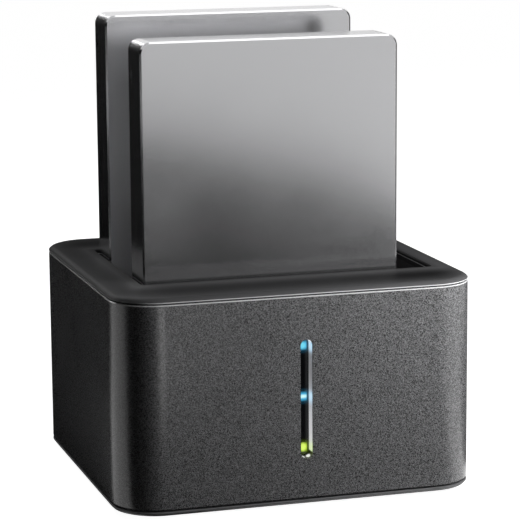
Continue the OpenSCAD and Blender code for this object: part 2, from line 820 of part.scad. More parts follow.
module drive_socket(bay) color("#101012") at_drive(bay) difference() {
    union() {
        block([plug_x - foot_block_w / 2, foot_block_y0, socket_z[bay]],
              [plug_x + foot_block_w / 2, foot_block_y1, foot_block_top]);
        block([plug_x - nose_w / 2, nose_y0, foot_block_top - tiny],
              [plug_x + nose_w / 2, nose_y1, nose_top]);
    }
    keyed_slot(data_x0, data_w, data_x0);
    keyed_slot(power_x0, power_w, power_x0 + power_w - key_w);
    for (x = contact_x) {
        block([x - contact_w / 2 - snug_gap, slot_y0 - snug_gap, socket_z[bay] - 1],
              [x + contact_w / 2 + snug_gap, slot_y0 + contact_t + snug_gap, contact_top + snug_gap]);
        block([x - contact_w / 2 - snug_gap, foot_block_y0 - 1, socket_z[bay] - 1],
              [x + contact_w / 2 + snug_gap, slot_y0, socket_z[bay] + contact_t + snug_gap]);
    }
}

// A slot for one tongue, with room for its keying leg
module keyed_slot(x0, w, key_x) {
    block([x0 - run_gap, slot_y0, slot_bottom], [x0 + w + run_gap, slot_y1, nose_top + 1]);
    block([key_x - run_gap, slot_y1 - tiny, slot_bottom],
          [key_x + key_w + run_gap, key_y1 + run_gap, nose_top + 1]);
}

// Contacts of a socket: a spring strip in its channel, turned out to a foot on the board
module socket_contacts(bay) color("#c9a54c") at_drive(bay)
    for (x = contact_x) {
        block([x - contact_w / 2, slot_y0, socket_z[bay]],
              [x + contact_w / 2, slot_y0 + contact_t, contact_top]);
        block([x - contact_w / 2, foot_block_y0 - contact_foot, socket_z[bay]],
              [x + contact_w / 2, slot_y0 + tiny, socket_z[bay] + contact_t]);
    }

module front_socket() drive_socket(0);
module rear_socket() drive_socket(1);
module front_socket_contacts() socket_contacts(0);
module rear_socket_contacts() socket_contacts(1);

// Ports, switch and button on the rear panel

module power_jack() color("#141416") difference() {
    block([jack_x - jack_w / 2, jack_face_y - jack_l, board_top],
          [jack_x + jack_w / 2, jack_face_y, board_top + jack_h]);
    translate([jack_x, 0, jack_z]) bar_y(jack_bore_d, jack_face_y - jack_bore_l, jack_bore_l + 1);
}

module power_jack_pin() color("#c4c6ca") translate([jack_x, 0, jack_z]) {
    bar_y(jack_pin_d, jack_face_y - jack_bore_l, jack_pin_l - jack_pin_d / 2);
    translate([0, jack_face_y - jack_bore_l + jack_pin_l - jack_pin_d / 2, 0]) sphere(d = jack_pin_d);
}

module usb_port_shell() color("#b4b6ba") translate([usb_x, 0, usb_z]) difference() {
    upright(usb_face_y - usb_l, usb_l) rotate(90) stadium(usb_h, usb_w);
    upright(usb_face_y - usb_l + usb_wall, usb_l)
        rotate(90) stadium(usb_h - 2 * usb_wall, usb_w - 2 * usb_wall);
}

module usb_port_tongue() color("#1a1a1c") translate([usb_x, 0, usb_z])
    upright(usb_face_y - usb_l + usb_wall, usb_tongue_l)
        round_rect(usb_tongue_w, usb_tongue_t, usb_tongue_r);

module power_switch_housing() color("#121214") translate([switch_x, 0, switch_z]) difference() {
    block([-switch_w / 2, switch_face_y - switch_l, -switch_h / 2],
          [switch_w / 2, switch_face_y, switch_h / 2]);
    block([-cavity_half, cavity_deep, -rocker_h / 2 - fit_gap],
          [cavity_half, switch_face_y + 1, rocker_h / 2 + fit_gap]);
    translate([0, pivot_y, -rocker_h / 2 - fit_gap - pivot_l])
        cylinder(d = pivot_d + 2 * snug_gap, h = rocker_h + 2 * fit_gap + 2 * pivot_l);
}

module power_switch_terminals() color("#b7a25e")
    for (i = [-1, 0, 1]) translate([switch_x + i * terminal_pitch, switch_face_y - switch_l, 0]) {
        block([-terminal_w / 2, -terminal_l, switch_z], [terminal_w / 2, 0, switch_z + terminal_t]);
        block([-terminal_w / 2, -terminal_l, board_top],
              [terminal_w / 2, -terminal_l + terminal_t, switch_z + tiny]);
    }

module power_rocker() color("#1b1b1d") translate([switch_x, pivot_y, switch_z]) rotate(-rocker_tilt) {
    translate([0, 0, -rocker_h / 2]) linear_extrude(rocker_h)
        polygon([[-rocker_half, rocker_end], [0, rocker_mid], [rocker_half, rocker_end],
                 [rocker_foot, -rocker_deep], [-rocker_foot, -rocker_deep]]);
    translate([0, 0, -rocker_h / 2 - fit_gap - pivot_l / 2])
        cylinder(d = pivot_d, h = rocker_h + 2 * fit_gap + pivot_l);
}

module clone_button() color("#232326") translate([clone_x, 0, clone_z]) {
    bar_y(clone_d, clone_flange_y - tiny, clone_face_y - clone_flange_y + tiny);
    bar_y(clone_flange_d, clone_flange_y - clone_flange_t, clone_flange_t);
    bar_y(key_stem_d, plunger_end_y, clone_flange_y - clone_flange_t - plunger_end_y + tiny);
}

module clone_plunger() color("#c8c4b8") translate([clone_x, 0, clone_z])
    bar_y(key_stem_d, tact_face_y - plunger_in, plunger_out + plunger_in);

module clone_switch() color("#3a3a3c") difference() {
    block([clone_x - tact_w / 2, tact_face_y - tact_l, board_top],
          [clone_x + tact_w / 2, tact_face_y, board_top + tact_h]);
    translate([clone_x, 0, clone_z]) bar_y(key_stem_d + 2 * run_gap,
        tact_face_y - plunger_in - clone_travel - run_gap, plunger_in + clone_travel + run_gap + 1);
}

// Status light bar

module light_liner() color("#e4e6ea") at_lights() difference() {
    union() {
        upright(liner_y0, window_y1 - liner_y0)
            stadium(light_w + 2 * liner_wall, light_l + 2 * liner_wall);
        upright(front_in_y, holder_t) round_rect(holder_w, holder_l, holder_r);
        for (z = [-1, 1]) translate([0, 0, z * holder_post_z])
            bar_y(holder_post_d, front_in_y, card_front_y - front_in_y);
    }
    upright(liner_y0 - 1, window_depth + window_t + 2) stadium(light_w, light_l);
    for (z = [-1, 1]) translate([0, 0, z * holder_post_z])
        bar_y(light_pilot_d, card_front_y - light_screw_l, light_screw_l + 1);
}

// Outline of one lens
module lens_outline(gap) {
    round_rect(lens_w + 2 * gap, lens_l + 2 * gap, lens_r + gap);
}

module light_window() color("#0c0c0e") at_lights() upright(window_y0, window_t) difference() {
    stadium(light_w - 2 * snug_gap, light_l - 2 * snug_gap);
    for (i = [-1, 0, 1]) translate([0, i * light_pitch]) lens_outline(snug_gap);
}

module lens(i) {
    at_lights() translate([0, 0, i * light_pitch]) upright(window_y0, window_t) lens_outline(0);
}

module blue_lenses() color("#3fb4ff") {
    lens(0);
    lens(1);
}

module green_lens() color("#b6f03c") lens(-1);

module light_board() color("#1f4d36") difference() {
    translate([light_x, 0, (light_card_top + board_z) / 2]) upright(card_front_y, light_card_t)
        round_rect(holder_w, light_card_top - board_z, light_card_r);
    at_lights() for (z = [-1, 1]) translate([0, 0, z * holder_post_z])
        bar_y(light_hole_d, card_front_y - 1, light_card_t + 2);
}

module light_lamps() color("#efe9d2") at_lights()
    for (i = [-1, 0, 1]) translate([0, 0, i * light_pitch])
        upright(card_front_y - lamp_t, lamp_t) square([lamp_w, lamp_l], center = true);

module light_screws() color("#a5a7ab") at_lights()
    for (z = [-1, 1]) translate([0, light_card_back, z * holder_post_z]) rotate([90, 0, 0])
        screw(light_screw_d, light_screw_l + light_card_t - fit_gap, light_head_d, light_head_h);

module light_header() color("#161618")
    block([light_x - header_w / 2, header_y, board_top],
          [light_x + header_w / 2, header_y + header_d, header_top]);

module light_header_pins() color("#c9a54c")
    for (i = [0:header_pins - 1], side = [-1, 1])
        translate([light_x + side * (header_middle / 2 + (i + 0.5) * header_pitch), 0, header_z])
            block([-header_pin_w / 2, light_card_back, -header_pin_w / 2],
                  [header_pin_w / 2, header_y, header_pin_w / 2]);

// Drives, each in its own frame: face at Y 0, connector end at Z 0

// The outline of a drive, lying in X and Z
module drive_slab(w, l, r, y0, t) {
    translate([0, 0, drive_l / 2]) upright(y0, t) round_rect(w, l, r);
}

module drive_case(bay) color("#9c9da0") at_drive(bay) difference() {
    union() {
        difference() {
            translate([0, drive_t, drive_l / 2]) rotate([90, 0, 0])
                edged_slab(drive_w, drive_l, drive_corner_r, drive_t)
                    chamfer_profile(drive_corner_r, drive_t, drive_edge / 2, drive_edge);
            drive_slab(cavity_w, cavity_l, cavity_r, case_face, drive_t);
        }
        for (x = [-1, 1]) {
            for (z = post_z) translate([x * post_x, 0, z])
                bar_y(post_d, case_face - tiny, cover_y - case_face + tiny);
            translate([x * card_boss_x, 0, card_boss_z])
                bar_y(card_boss_d, case_face - tiny, card_y0 - case_face + tiny);
            for (z = side_hole_z) side_boss(x, z);
        }
    }
    drive_slab(cover_w + 2 * snug_gap, cover_l + 2 * snug_gap, cover_r + snug_gap, cover_y, drive_t);
    block([plug_x - port_w / 2, port_y0, -1], [plug_x + port_w / 2, port_y1 + tiny, case_wall + 1]);
    for (x = [-1, 1]) {
        for (z = post_z) translate([x * post_x, 0, z])
            bar_y(cover_pilot_d, cover_y - cover_screw_l, cover_screw_l + cover_t);
        for (z = side_hole_z)
            translate([x * (drive_w / 2 + 1), drive_t - side_hole_y, z])
                rotate([0, -90 * x, 0]) cylinder(d = side_hole_d, h = side_hole_l + 1);
    }
}

// Thickening behind a side hole, from the case's side wall
module side_boss(side, z) {
    half = side_hole_d / 2 + side_boss_rim;
    reach = [drive_w / 2 - side_boss_l, drive_w / 2 - case_wall + tiny];
    x0 = side > 0 ? reach[0] : -reach[1];
    x1 = side > 0 ? reach[1] : -reach[0];
    block([x0, drive_t - side_hole_y - half, z - half], [x1, cover_y, z + half]);
}

module drive_cover(bay) color("#86878a") at_drive(bay) difference() {
    drive_slab(cover_w, cover_l, cover_r, cover_y, cover_t);
    for (x = [-1, 1], z = post_z) translate([x * post_x, 0, z]) {
        bar_y(cover_hole_d, cover_y - 1, cover_t + 2);
        bar_y(cover_sink_d, drive_t - cover_head_h, cover_head_h + 1);
    }
}

module drive_screws(bay) color("#c2c4c8") at_drive(bay)
    for (x = [-1, 1], z = post_z) translate([x * post_x, drive_t - cover_head_h, z])
        rotate([90, 0, 0]) screw(cover_screw_d, cover_screw_l, cover_head_d, cover_head_h - snug_gap);

module drive_card(bay) color("#1f4d36") at_drive(bay)
    block([-card_w / 2, card_y0, card_z0], [card_w / 2, card_y0 + card_t, card_z0 + card_l]);

module drive_chips(bay) color("#17181a") at_drive(bay) translate([0, card_y0, card_z0]) {
    block([-controller_side / 2, -chip_t, controller_z],
          [controller_side / 2, 0, controller_z + controller_side]);
    for (x = [-memory_x, memory_x], z = memory_z)
        block([x - memory_w / 2, -chip_t, z], [x + memory_w / 2, 0, z + memory_l]);
}

module drive_plug(bay) color("#101012") at_drive(bay) {
    block([plug_x - port_w / 2 + fit_gap, port_y0 + fit_gap, tongue_root],
          [plug_x + port_w / 2 - fit_gap, port_y1, card_z0]);
    keyed_tongue(data_x0, data_w, data_x0);
    keyed_tongue(power_x0, power_w, power_x0 + power_w - key_w);
}

// A contact tongue with its keying leg
module keyed_tongue(x0, w, key_x) {
    block([x0, tongue_y0, tongue_tip], [x0 + w, tongue_y1, tongue_root + tiny]);
    block([key_x, tongue_y1 - tiny, tongue_tip], [key_x + key_w, key_y1, tongue_root + tiny]);
}

module drive_contacts(bay) color("#c9a54c") at_drive(bay)
    for (x = contact_x)
        block([x - contact_w / 2, tongue_y0 - pad_t, tongue_tip + pad_inset],
              [x + contact_w / 2, tongue_y0, tongue_root]);

module front_drive_case() drive_case(0);
module front_drive_cover() drive_cover(0);
module front_drive_screws() drive_screws(0);
module front_drive_card() drive_card(0);
module front_drive_chips() drive_chips(0);
module front_drive_plug() drive_plug(0);
module front_drive_contacts() drive_contacts(0);
module rear_drive_case() drive_case(1);
module rear_drive_cover() drive_cover(1);
module rear_drive_screws() drive_screws(1);
module rear_drive_card() drive_card(1);
module rear_drive_chips() drive_chips(1);
module rear_drive_plug() drive_plug(1);
module rear_drive_contacts() drive_contacts(1);

outer_shell();
top_bezel();
bay_well();
base_cover();
rubber_feet();
base_screws();
main_board();
board_screws();
bridge_chip();
flash_chip();
crystal();
board_capacitors();
board_coils();
board_regulators();
board_passives();
front_socket();
front_socket_contacts();
rear_socket();
rear_socket_contacts();
power_jack();
power_jack_pin();
usb_port_shell();
usb_port_tongue();
power_switch_housing();
power_switch_terminals();
power_rocker();
clone_button();
clone_plunger();
clone_switch();
light_liner();
light_window();
blue_lenses();
green_lens();
light_board();
light_lamps();
light_screws();
light_header();
light_header_pins();
front_drive_case();
front_drive_cover();
front_drive_screws();
front_drive_card();
front_drive_chips();
front_drive_plug();
front_drive_contacts();
rear_drive_case();
rear_drive_cover();
rear_drive_screws();
rear_drive_card();
rear_drive_chips();
rear_drive_plug();
rear_drive_contacts();
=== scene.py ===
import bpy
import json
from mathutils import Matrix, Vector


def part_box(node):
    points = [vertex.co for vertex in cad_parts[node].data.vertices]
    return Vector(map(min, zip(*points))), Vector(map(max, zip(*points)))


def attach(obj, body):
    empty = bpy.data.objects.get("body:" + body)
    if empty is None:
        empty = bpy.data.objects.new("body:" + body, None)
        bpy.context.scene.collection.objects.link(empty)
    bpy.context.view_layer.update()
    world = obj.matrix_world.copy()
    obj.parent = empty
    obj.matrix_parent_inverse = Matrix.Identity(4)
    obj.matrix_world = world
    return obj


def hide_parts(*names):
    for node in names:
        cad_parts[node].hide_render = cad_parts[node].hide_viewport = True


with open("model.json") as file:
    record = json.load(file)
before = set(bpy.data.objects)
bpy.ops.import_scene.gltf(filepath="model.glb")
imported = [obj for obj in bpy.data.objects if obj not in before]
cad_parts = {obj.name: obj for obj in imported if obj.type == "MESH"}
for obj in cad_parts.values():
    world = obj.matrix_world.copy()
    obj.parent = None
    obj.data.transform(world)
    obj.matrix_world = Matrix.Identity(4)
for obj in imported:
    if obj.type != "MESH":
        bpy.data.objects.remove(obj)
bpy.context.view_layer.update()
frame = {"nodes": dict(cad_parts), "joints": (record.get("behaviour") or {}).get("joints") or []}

import json
import math

import bmesh
import bpy
from bpy.props import FloatProperty, FloatVectorProperty, IntProperty, PointerProperty
from mathutils import Matrix, Vector

bl_info = {
    "name": "Two-bay drive dock",
    "version": (1, 0, 0),
    "blender": (4, 5, 0),
    "location": "View3D > Sidebar > Dock",
    "description": "Finishes, small hardware and studio for a two-bay drive docking station",
    "category": "Object",
}

MM = 0.001
WHITE = (1.0, 1.0, 1.0, 1.0)

# A half size with no end on this object, in metres
FAR = 10.0

# Streaks per metre along X, Y and Z
PLATED = (600.0, 3000.0, 3000.0)
PLATED_ACROSS = (3000.0, 600.0, 3000.0)
TURNED = (2500.0, 2500.0, 2500.0)
SPUN = (900.0, 900.0, 4000.0)
DRAWN = (300.0, 3000.0, 3000.0)

# Edges that bend less than this are shaded smooth
SMOOTH_ANGLE = math.radians(30.0)

# A screw head's outer face as a share of its width
HEAD_TAPER = 0.84

# Black cards: name, height of a standing card or 0, and outline on the floor in metres
FLAGS = (
    ("flag_front_low", 0.0, ((-0.8, -0.76), (-0.09, -0.76), (-0.045, -0.144), (-0.023, -0.146),
                             (0.06, -0.76), (0.13, -0.76), (0.195, -0.54), (0.17, -0.2),
                             (0.06, -0.052), (-0.052, -0.045), (-0.8, -0.045))),
    ("flag_front_left", 0.6, ((-1.15, 0.02), (-0.45, -1.1))),
    ("flag_left_low", 0.0, ((-0.047, -0.043), (-0.1, 0.07), (-1.6, 1.5), (-1.6, 3.0), (-0.047, 3.0))),
    ("flag_left", 1.4, ((-0.7, 0.6), (-0.06, 0.6))),
    ("flag_right_low", 0.0, ((0.06, -0.03), (0.27, -0.03), (0.27, 0.2), (0.6, 0.45), (0.6, 0.6),
                             (0.06, 0.6))),
    ("flag_right", 0.5, ((0.6, 0.3), (0.6, 0.6))),
    ("flag_back", 0.126, ((-0.06, 0.09), (0.075, 0.09))),
    ("flag_back_right", 0.35, ((0.075, 0.09), (0.6, 0.09))))

# Lamps: name, place, aim and size in metres
LAMPS = (
    ("key", (0.093, -0.118, 0.095), (0.01, -0.047, 0.03), (0.08, 0.08)),
    ("top", (0.16, -0.1, 0.6), (0.0, -0.02, 0.06), (0.3, 0.3)),
    ("back", (-0.14, 0.5, 0.4), (0.0, 0.05, 0.05), (0.25, 0.25)),
    ("gap", (-0.17, 0.17, 0.19), (-0.03, -0.012, 0.1), (0.04, 0.04)),
    ("strip", (-0.003, 0.02, 0.132), (-0.003, -0.0125, 0.1214), (0.066, 0.004)),
    ("band", (-0.02, -0.25, MM), (-0.02, -0.25, 1.0), (0.035, 0.11)))
NARROW = math.radians(24)


# Property helpers

def colour_value(label, text, default):
    """A colour that the user may change."""
    return FloatVectorProperty(name=label, description=text, default=default, subtype="COLOR",
                               size=3, min=0.0, max=1.0)


def length_value(label, text, millimetres):
    """A length that the user may change, written here in millimetres."""
    return FloatProperty(name=label, description=text, default=millimetres * MM, unit="LENGTH",
                         min=0.0, precision=5)


def share_value(label, text, default):
    """A plain share between 0 and 1."""
    return FloatProperty(name=label, description=text, default=default, subtype="FACTOR",
                         min=0.0, max=1.0)


def angle_value(label, text, degrees):
    """An angle that the user may change, written here in degrees."""
    return FloatProperty(name=label, description=text, default=math.radians(degrees), subtype="ANGLE",
                         unit="ROTATION")


def power_value(label, text, default):
    """A lamp's power in watts."""
    return FloatProperty(name=label, description=text, default=default, unit="POWER", min=0.0)


class HousingFinish(bpy.types.PropertyGroup):
    """Colours and textures of the dock's housing"""
    shell: colour_value("Shell", "Spark-textured outer shell", (0.08, 0.08, 0.082))
    shell_grain: length_value("Shell grain", "Size of one speck of the shell's texture", 0.13)
    shell_spread: FloatProperty(name="Shell speckle", default=2.4, min=0.0,
                                description="How far the specks differ from the shell's colour")
    bezel: colour_value("Bezel", "Satin top bezel", (0.0095, 0.0095, 0.0098))
    bezel_grain: length_value("Bezel grain", "Size of the satin texture", 0.12)
    # Crown and mouth colours are painted sheen, lighter towards the bezel's outer edge and the bay's mouth
    crown: colour_value("Crown", "Sheen of the bezel's rounded edge", (0.059, 0.059, 0.0605))
    crown_reach: length_value("Crown reach", "How far the sheen reaches in from the edge", 10.0)
    corner: length_value("Corner", "Radius of the housing's corners", 12.0)
    mouth: colour_value("Mouth", "Sheen round the bay's mouth", (0.06, 0.06, 0.0615))
    mouth_reach: length_value("Mouth reach", "How far the sheen reaches out from the mouth", 7.5)
    bay_corner: length_value("Bay corner", "Radius of the bay's corners", 1.2)
    # Painted highlight: a light colour along both seam edges where their chamfers would catch the light
    seam_highlight: colour_value("Seam edges", "Highlighted edges along the seam", (0.45, 0.45, 0.455))
    seam: length_value("Seam", "Height of the groove between shell and bezel", 0.4)
    seam_highlight_width: length_value("Seam edge width", "Width of a highlighted edge", 0.3)
    base: colour_value("Base", "Base under the shell", (0.075, 0.075, 0.077))
    bay: colour_value("Bay", "Inside of the bay", (0.018, 0.018, 0.019))
    rubber: colour_value("Feet", "Rubber feet", (0.028, 0.027, 0.026))


class LightFinish(bpy.types.PropertyGroup):
    """Colours of the light bar"""
    blue: colour_value("Blue", "Colour of the two blue lights", (0.05, 0.42, 0.72))
    green: colour_value("Yellow-green", "Colour of the lower light", (0.38, 0.6, 0.02))
    window: colour_value("Window", "Smoked window", (0.006, 0.006, 0.007))
    liner: colour_value("Liner", "Bright liner of the slot", (0.6, 0.6, 0.61))
    blue_core: colour_value("Blue core", "Middle of the centre light", (0.64, 1.0, 1.0))
    blue_upper_core: colour_value("Upper core", "Middle of the upper light", (0.18, 0.7, 0.88))
    green_core: colour_value("Yellow core", "Middle of the lower light", (0.72, 0.95, 0.16))
    # Painted light on the liner: an emitted glow, brighter towards the foot and dimmer near the head, with
    # painted highlights at the ends
    liner_painted_glow: colour_value("Liner glow", "Light that the liner shows at its foot", (0.4, 0.4, 0.41))
    liner_painted_dim: colour_value("Liner dim", "Light that the liner shows near its head", (0.06, 0.06, 0.06))
    liner_painted_highlight: colour_value("Liner ends", "Light at the liner's ends", (0.8, 0.8, 0.8))
    halo: length_value("Halo", "How far a light's glow reaches into the window", 0.8)
    halo_share: share_value("Halo level", "How strong the glow in the window is", 0.2)


class DriveFinish(bpy.types.PropertyGroup):
    """Colours and textures of the two drives"""
    case: colour_value("Case", "Blasted metal of the drive's case", (0.47, 0.47, 0.48))
    cover: colour_value("Back cover", "Back cover of the drive", (0.46, 0.46, 0.47))
    grain: length_value("Blast grain", "Size of the blasted texture", 0.16)
    roughness: share_value("Roughness", "How matt the case is", 0.155)
    sheen: share_value("Metal share", "How much of the case's surface is bare metal", 0.95)
    plug: colour_value("Plug", "Plastic of the drive's plug", (0.02, 0.02, 0.021))


class HardwareFinish(bpy.types.PropertyGroup):
    """Colours of the boards, ports and keys"""
    board: colour_value("Board", "Solder mask of the boards", (0.012, 0.075, 0.03))
    copper: colour_value("Pads", "Bare plated pads on the boards", (0.62, 0.48, 0.2))
    trace: length_value("Trace pitch", "Distance between two traces", 0.55)
    package: colour_value("Chips", "Moulded chip packages", (0.022, 0.022, 0.023))
    can: colour_value("Cans", "Aluminium cans and the crystal", (0.62, 0.62, 0.63))
    ferrite: colour_value("Coils", "Ferrite of the coils", (0.045, 0.044, 0.043))
    ceramic: colour_value("Passives", "Small ceramic parts", (0.36, 0.25, 0.15))
    gold: colour_value("Contacts", "Gold-plated contacts", (0.83, 0.6, 0.24))
    nickel: colour_value("Port metal", "Nickel-plated port shells", (0.68, 0.67, 0.65))
    connector: colour_value("Connectors", "Plastic of sockets and plugs", (0.022, 0.022, 0.023))
    keys: colour_value("Keys", "Rocker and clone button", (0.03, 0.03, 0.031))
    plunger: colour_value("Plunger", "Plunger behind the clone button", (0.55, 0.54, 0.5))
    resin: colour_value("Lamps", "Clear resin of the lamps", (0.78, 0.78, 0.72))
    steel: colour_value("Screws", "Zinc-plated screws", (0.5, 0.5, 0.49))
    mark: colour_value("Switch marks", "Print on the rocker", (0.72, 0.72, 0.7))


class HardwareSizes(bpy.types.PropertyGroup):
    """Sizes of the small hardware"""
    base_head: length_value("Base screw head", "Width of a base screw's head", 5.0)
    base_head_height: length_value("Base head height", "Height of a base screw's head", 1.8)
    base_shank: length_value("Base shank", "Width of a base screw's shank", 3.0)
    cover_head: length_value("Cover screw head", "Width of a cover screw's head", 3.0)
    cover_head_height: length_value("Cover head height", "Height of a cover screw's head", 0.55)
    cover_shank: length_value("Cover shank", "Width of a cover screw's shank", 1.6)
    recess_share: share_value("Recess length", "Cross recess as a share of the head's width", 0.58)
    recess_width: share_value("Recess width", "Width of the arms as a share of the head's width", 0.14)
    recess_depth: share_value("Recess depth", "Depth of the cross as a share of the head's height", 0.6)
    pad_count: IntProperty(name="USB pads", description="Contact pads on each side of the tongue",
                           default=12, min=1)
    pad_pitch: length_value("Pad pitch", "Distance between two contact pads", 0.5)
    pad_width: length_value("Pad width", "Width of a contact pad", 0.28)
    pad_length: length_value("Pad length", "Length of a contact pad", 3.4)
    pad_thickness: length_value("Pad thickness", "How far a pad stands off the tongue", 0.03)
    mark_height: length_value("Mark height", "Height of the rocker's two marks", 2.6)
    mark_line: length_value("Mark line", "Line width of the rocker's two marks", 0.42)


class StageSetup(bpy.types.PropertyGroup):
    """Camera, lamps and background"""
    eye: FloatVectorProperty(name="Camera", description="Where the camera stands", size=3,
                             default=(-0.18441, -0.61849, 0.17609), subtype="TRANSLATION", unit="LENGTH")
    yaw: angle_value("Yaw", "How far the camera turns to the right of straight ahead", 16.82)
    pitch: angle_value("Pitch", "How far the camera looks down", 10.462)
    roll: angle_value("Roll", "How far the camera leans about its own axis", -0.446)
    lens: FloatProperty(name="Lens", description="Focal length in millimetres", default=166.15, min=1.0)
    key: power_value("Key", "Soft box at the upper right in front", 0.34)
    top: power_value("Top", "Soft box overhead", 0.5)
    back: power_value("Back", "Soft box behind", 1.5)
    gap: power_value("Gap", "Narrow lamp that shines between the drives", 0.004)
    strip: power_value("Strip", "Low strip that lights the front drive's back over the rear drive", 0.004)
    band: power_value("Band", "Light panel on the floor that the left front corner mirrors", 0.08)
    ambient: FloatProperty(name="Ambient", description="Even light from all round", default=0.05, min=0.0)
    floor: colour_value("Floor", "Pale floor", (0.55, 0.55, 0.55))
    floor_glow: share_value("Floor white", "How white the floor reads without its lit share", 0.97)


# Node helpers

def add(tree, kind, inputs=None, **settings):
    """Adds a node; an input is set to a value or linked to a socket."""
    node = tree.nodes.new(kind)
    for name, value in settings.items():
        setattr(node, name, value)
    for key, value in (inputs or {}).items():
        if isinstance(value, bpy.types.NodeSocket):
            tree.links.new(value, node.inputs[key])
        else:
            node.inputs[key].default_value = value
    return node


def maths(tree, operation, first, second=0.0, third=0.0):
    """Adds a Math node and gives its result."""
    return add(tree, "ShaderNodeMath", {0: first, 1: second, 2: third}, operation=operation).outputs[0]


def centred(tree, value):
    """Spreads a value between 0 and 1 over -1 to 1."""
    return maths(tree, "MULTIPLY_ADD", value, 2.0, -1.0)


def vector_maths(tree, operation, first, second=(0.0, 0.0, 0.0)):
    """Adds a Vector Math node and gives its vector."""
    return add(tree, "ShaderNodeVectorMath", {0: first, 1: second}, operation=operation).outputs[0]


# Sockets of a Mix node for colours
MIX_SHARE, MIX_LOW, MIX_HIGH, MIX_RESULT = 0, 6, 7, 2


def blend(tree, share, low, high):
    """Mixes two colours."""
    inputs = {MIX_SHARE: share, MIX_LOW: low, MIX_HIGH: high}
    return add(tree, "ShaderNodeMix", inputs, data_type="RGBA").outputs[MIX_RESULT]


def rgba(colour):
    """A colour with full alpha, for a node's socket."""
    return (*colour, 1.0)


def group(name, inputs, outputs):
    """Starts a shader node group and gives it with its input and output nodes."""
    tree = bpy.data.node_groups.new(name, "ShaderNodeTree")
    for label, kind, value in inputs:
        socket = tree.interface.new_socket(label, in_out="INPUT", socket_type=kind)
        if value is not None:
            socket.default_value = value
    for label, kind in outputs:
        tree.interface.new_socket(label, in_out="OUTPUT", socket_type=kind)
    return tree, tree.nodes.new("NodeGroupInput"), tree.nodes.new("NodeGroupOutput")


VECTOR = "NodeSocketVector"
COLOUR = "NodeSocketColor"
NUMBER = "NodeSocketFloat"
SURFACE = (("Colour", COLOUR), ("Roughness", NUMBER), ("Height", NUMBER))


def shared(build):
    """Makes a node group when it is first used and gives the same one after that."""
    def find():
        name = build.__name__
        if name not in bpy.data.node_groups:
            build(name)
        return bpy.data.node_groups[name]
    return find


def give(tree, out, **results):
    """Links results to a group's outputs of the same names."""
    for label, socket in results.items():
        tree.links.new(socket, out.inputs[label])


@shared
def moulded_grain(name):
    """Specks of a moulded or blasted surface, with broad clouds under them."""
    tree, given, out = group(
        name,
        [("Vector", VECTOR, None), ("Colour", COLOUR, (0.1, 0.1, 0.1, 1.0)), ("Grain Size", NUMBER, 0.0004),
         ("Colour Spread", NUMBER, 0.3), ("Cloud Size", NUMBER, 0.02), ("Cloud Spread", NUMBER, 0.06),
         ("Roughness", NUMBER, 0.6), ("Roughness Spread", NUMBER, 0.1)],
        SURFACE)
    put = given.outputs
    fine = add(tree, "ShaderNodeTexNoise", {"Vector": put["Vector"], "Detail": 2.0, "Roughness": 0.6,
                                            "Scale": maths(tree, "DIVIDE", 1.0, put["Grain Size"])})
    cloud = add(tree, "ShaderNodeTexNoise", {"Vector": put["Vector"], "Detail": 2.0,
                                             "Scale": maths(tree, "DIVIDE", 1.0, put["Cloud Size"])})
    grains = add(tree, "ShaderNodeTexVoronoi", {
        "Vector": put["Vector"], "Scale": maths(tree, "DIVIDE", 1.0, put["Grain Size"])})
    pick = add(tree, "ShaderNodeSeparateColor", {0: grains.outputs["Color"]}).outputs[0]
    speck = maths(tree, "SUBTRACT", pick, 0.5)
    drift = centred(tree, cloud.outputs[0])
    level = maths(tree, "MULTIPLY_ADD", speck, put["Colour Spread"], 1.0)
    level = maths(tree, "MULTIPLY_ADD", drift, put["Cloud Spread"], level)
    toned = add(tree, "ShaderNodeHueSaturation", {"Color": put["Colour"], "Value": level})
    matt = maths(tree, "MULTIPLY_ADD", speck, put["Roughness Spread"], put["Roughness"])
    matt = maths(tree, "MULTIPLY_ADD", drift, put["Cloud Spread"], matt)
    give(tree, out, Colour=toned.outputs[0], Roughness=matt, Height=fine.outputs[0])


@shared
def drawn_metal(name):
    """Fine streaks of rolled, turned or plated metal."""
    tree, given, out = group(
        name,
        [("Vector", VECTOR, None), ("Colour", COLOUR, (0.6, 0.6, 0.6, 1.0)),
         ("Streaks", VECTOR, (200.0, 4000.0, 4000.0)), ("Colour Spread", NUMBER, 0.1),
         ("Roughness", NUMBER, 0.3), ("Roughness Spread", NUMBER, 0.08)],
        SURFACE)
    put = given.outputs
    stretched = vector_maths(tree, "MULTIPLY", put["Vector"], put["Streaks"])
    streak = add(tree, "ShaderNodeTexNoise", {"Vector": stretched, "Scale": 1.0, "Detail": 3.0})
    smear = add(tree, "ShaderNodeTexNoise", {"Vector": put["Vector"], "Scale": 90.0, "Detail": 2.0})
    lift = centred(tree, streak.outputs[0])
    level = maths(tree, "MULTIPLY_ADD", lift, put["Colour Spread"], 1.0)
    toned = add(tree, "ShaderNodeHueSaturation", {"Color": put["Colour"], "Value": level})
    smear_share, streak_share = 0.8, 0.6
    both = maths(tree, "MULTIPLY_ADD", lift, streak_share, -smear_share / 2)
    both = maths(tree, "MULTIPLY_ADD", smear.outputs[0], smear_share, both)
    matt = maths(tree, "MULTIPLY_ADD", both, put["Roughness Spread"], put["Roughness"])
    give(tree, out, Colour=toned.outputs[0], Roughness=matt, Height=streak.outputs[0])


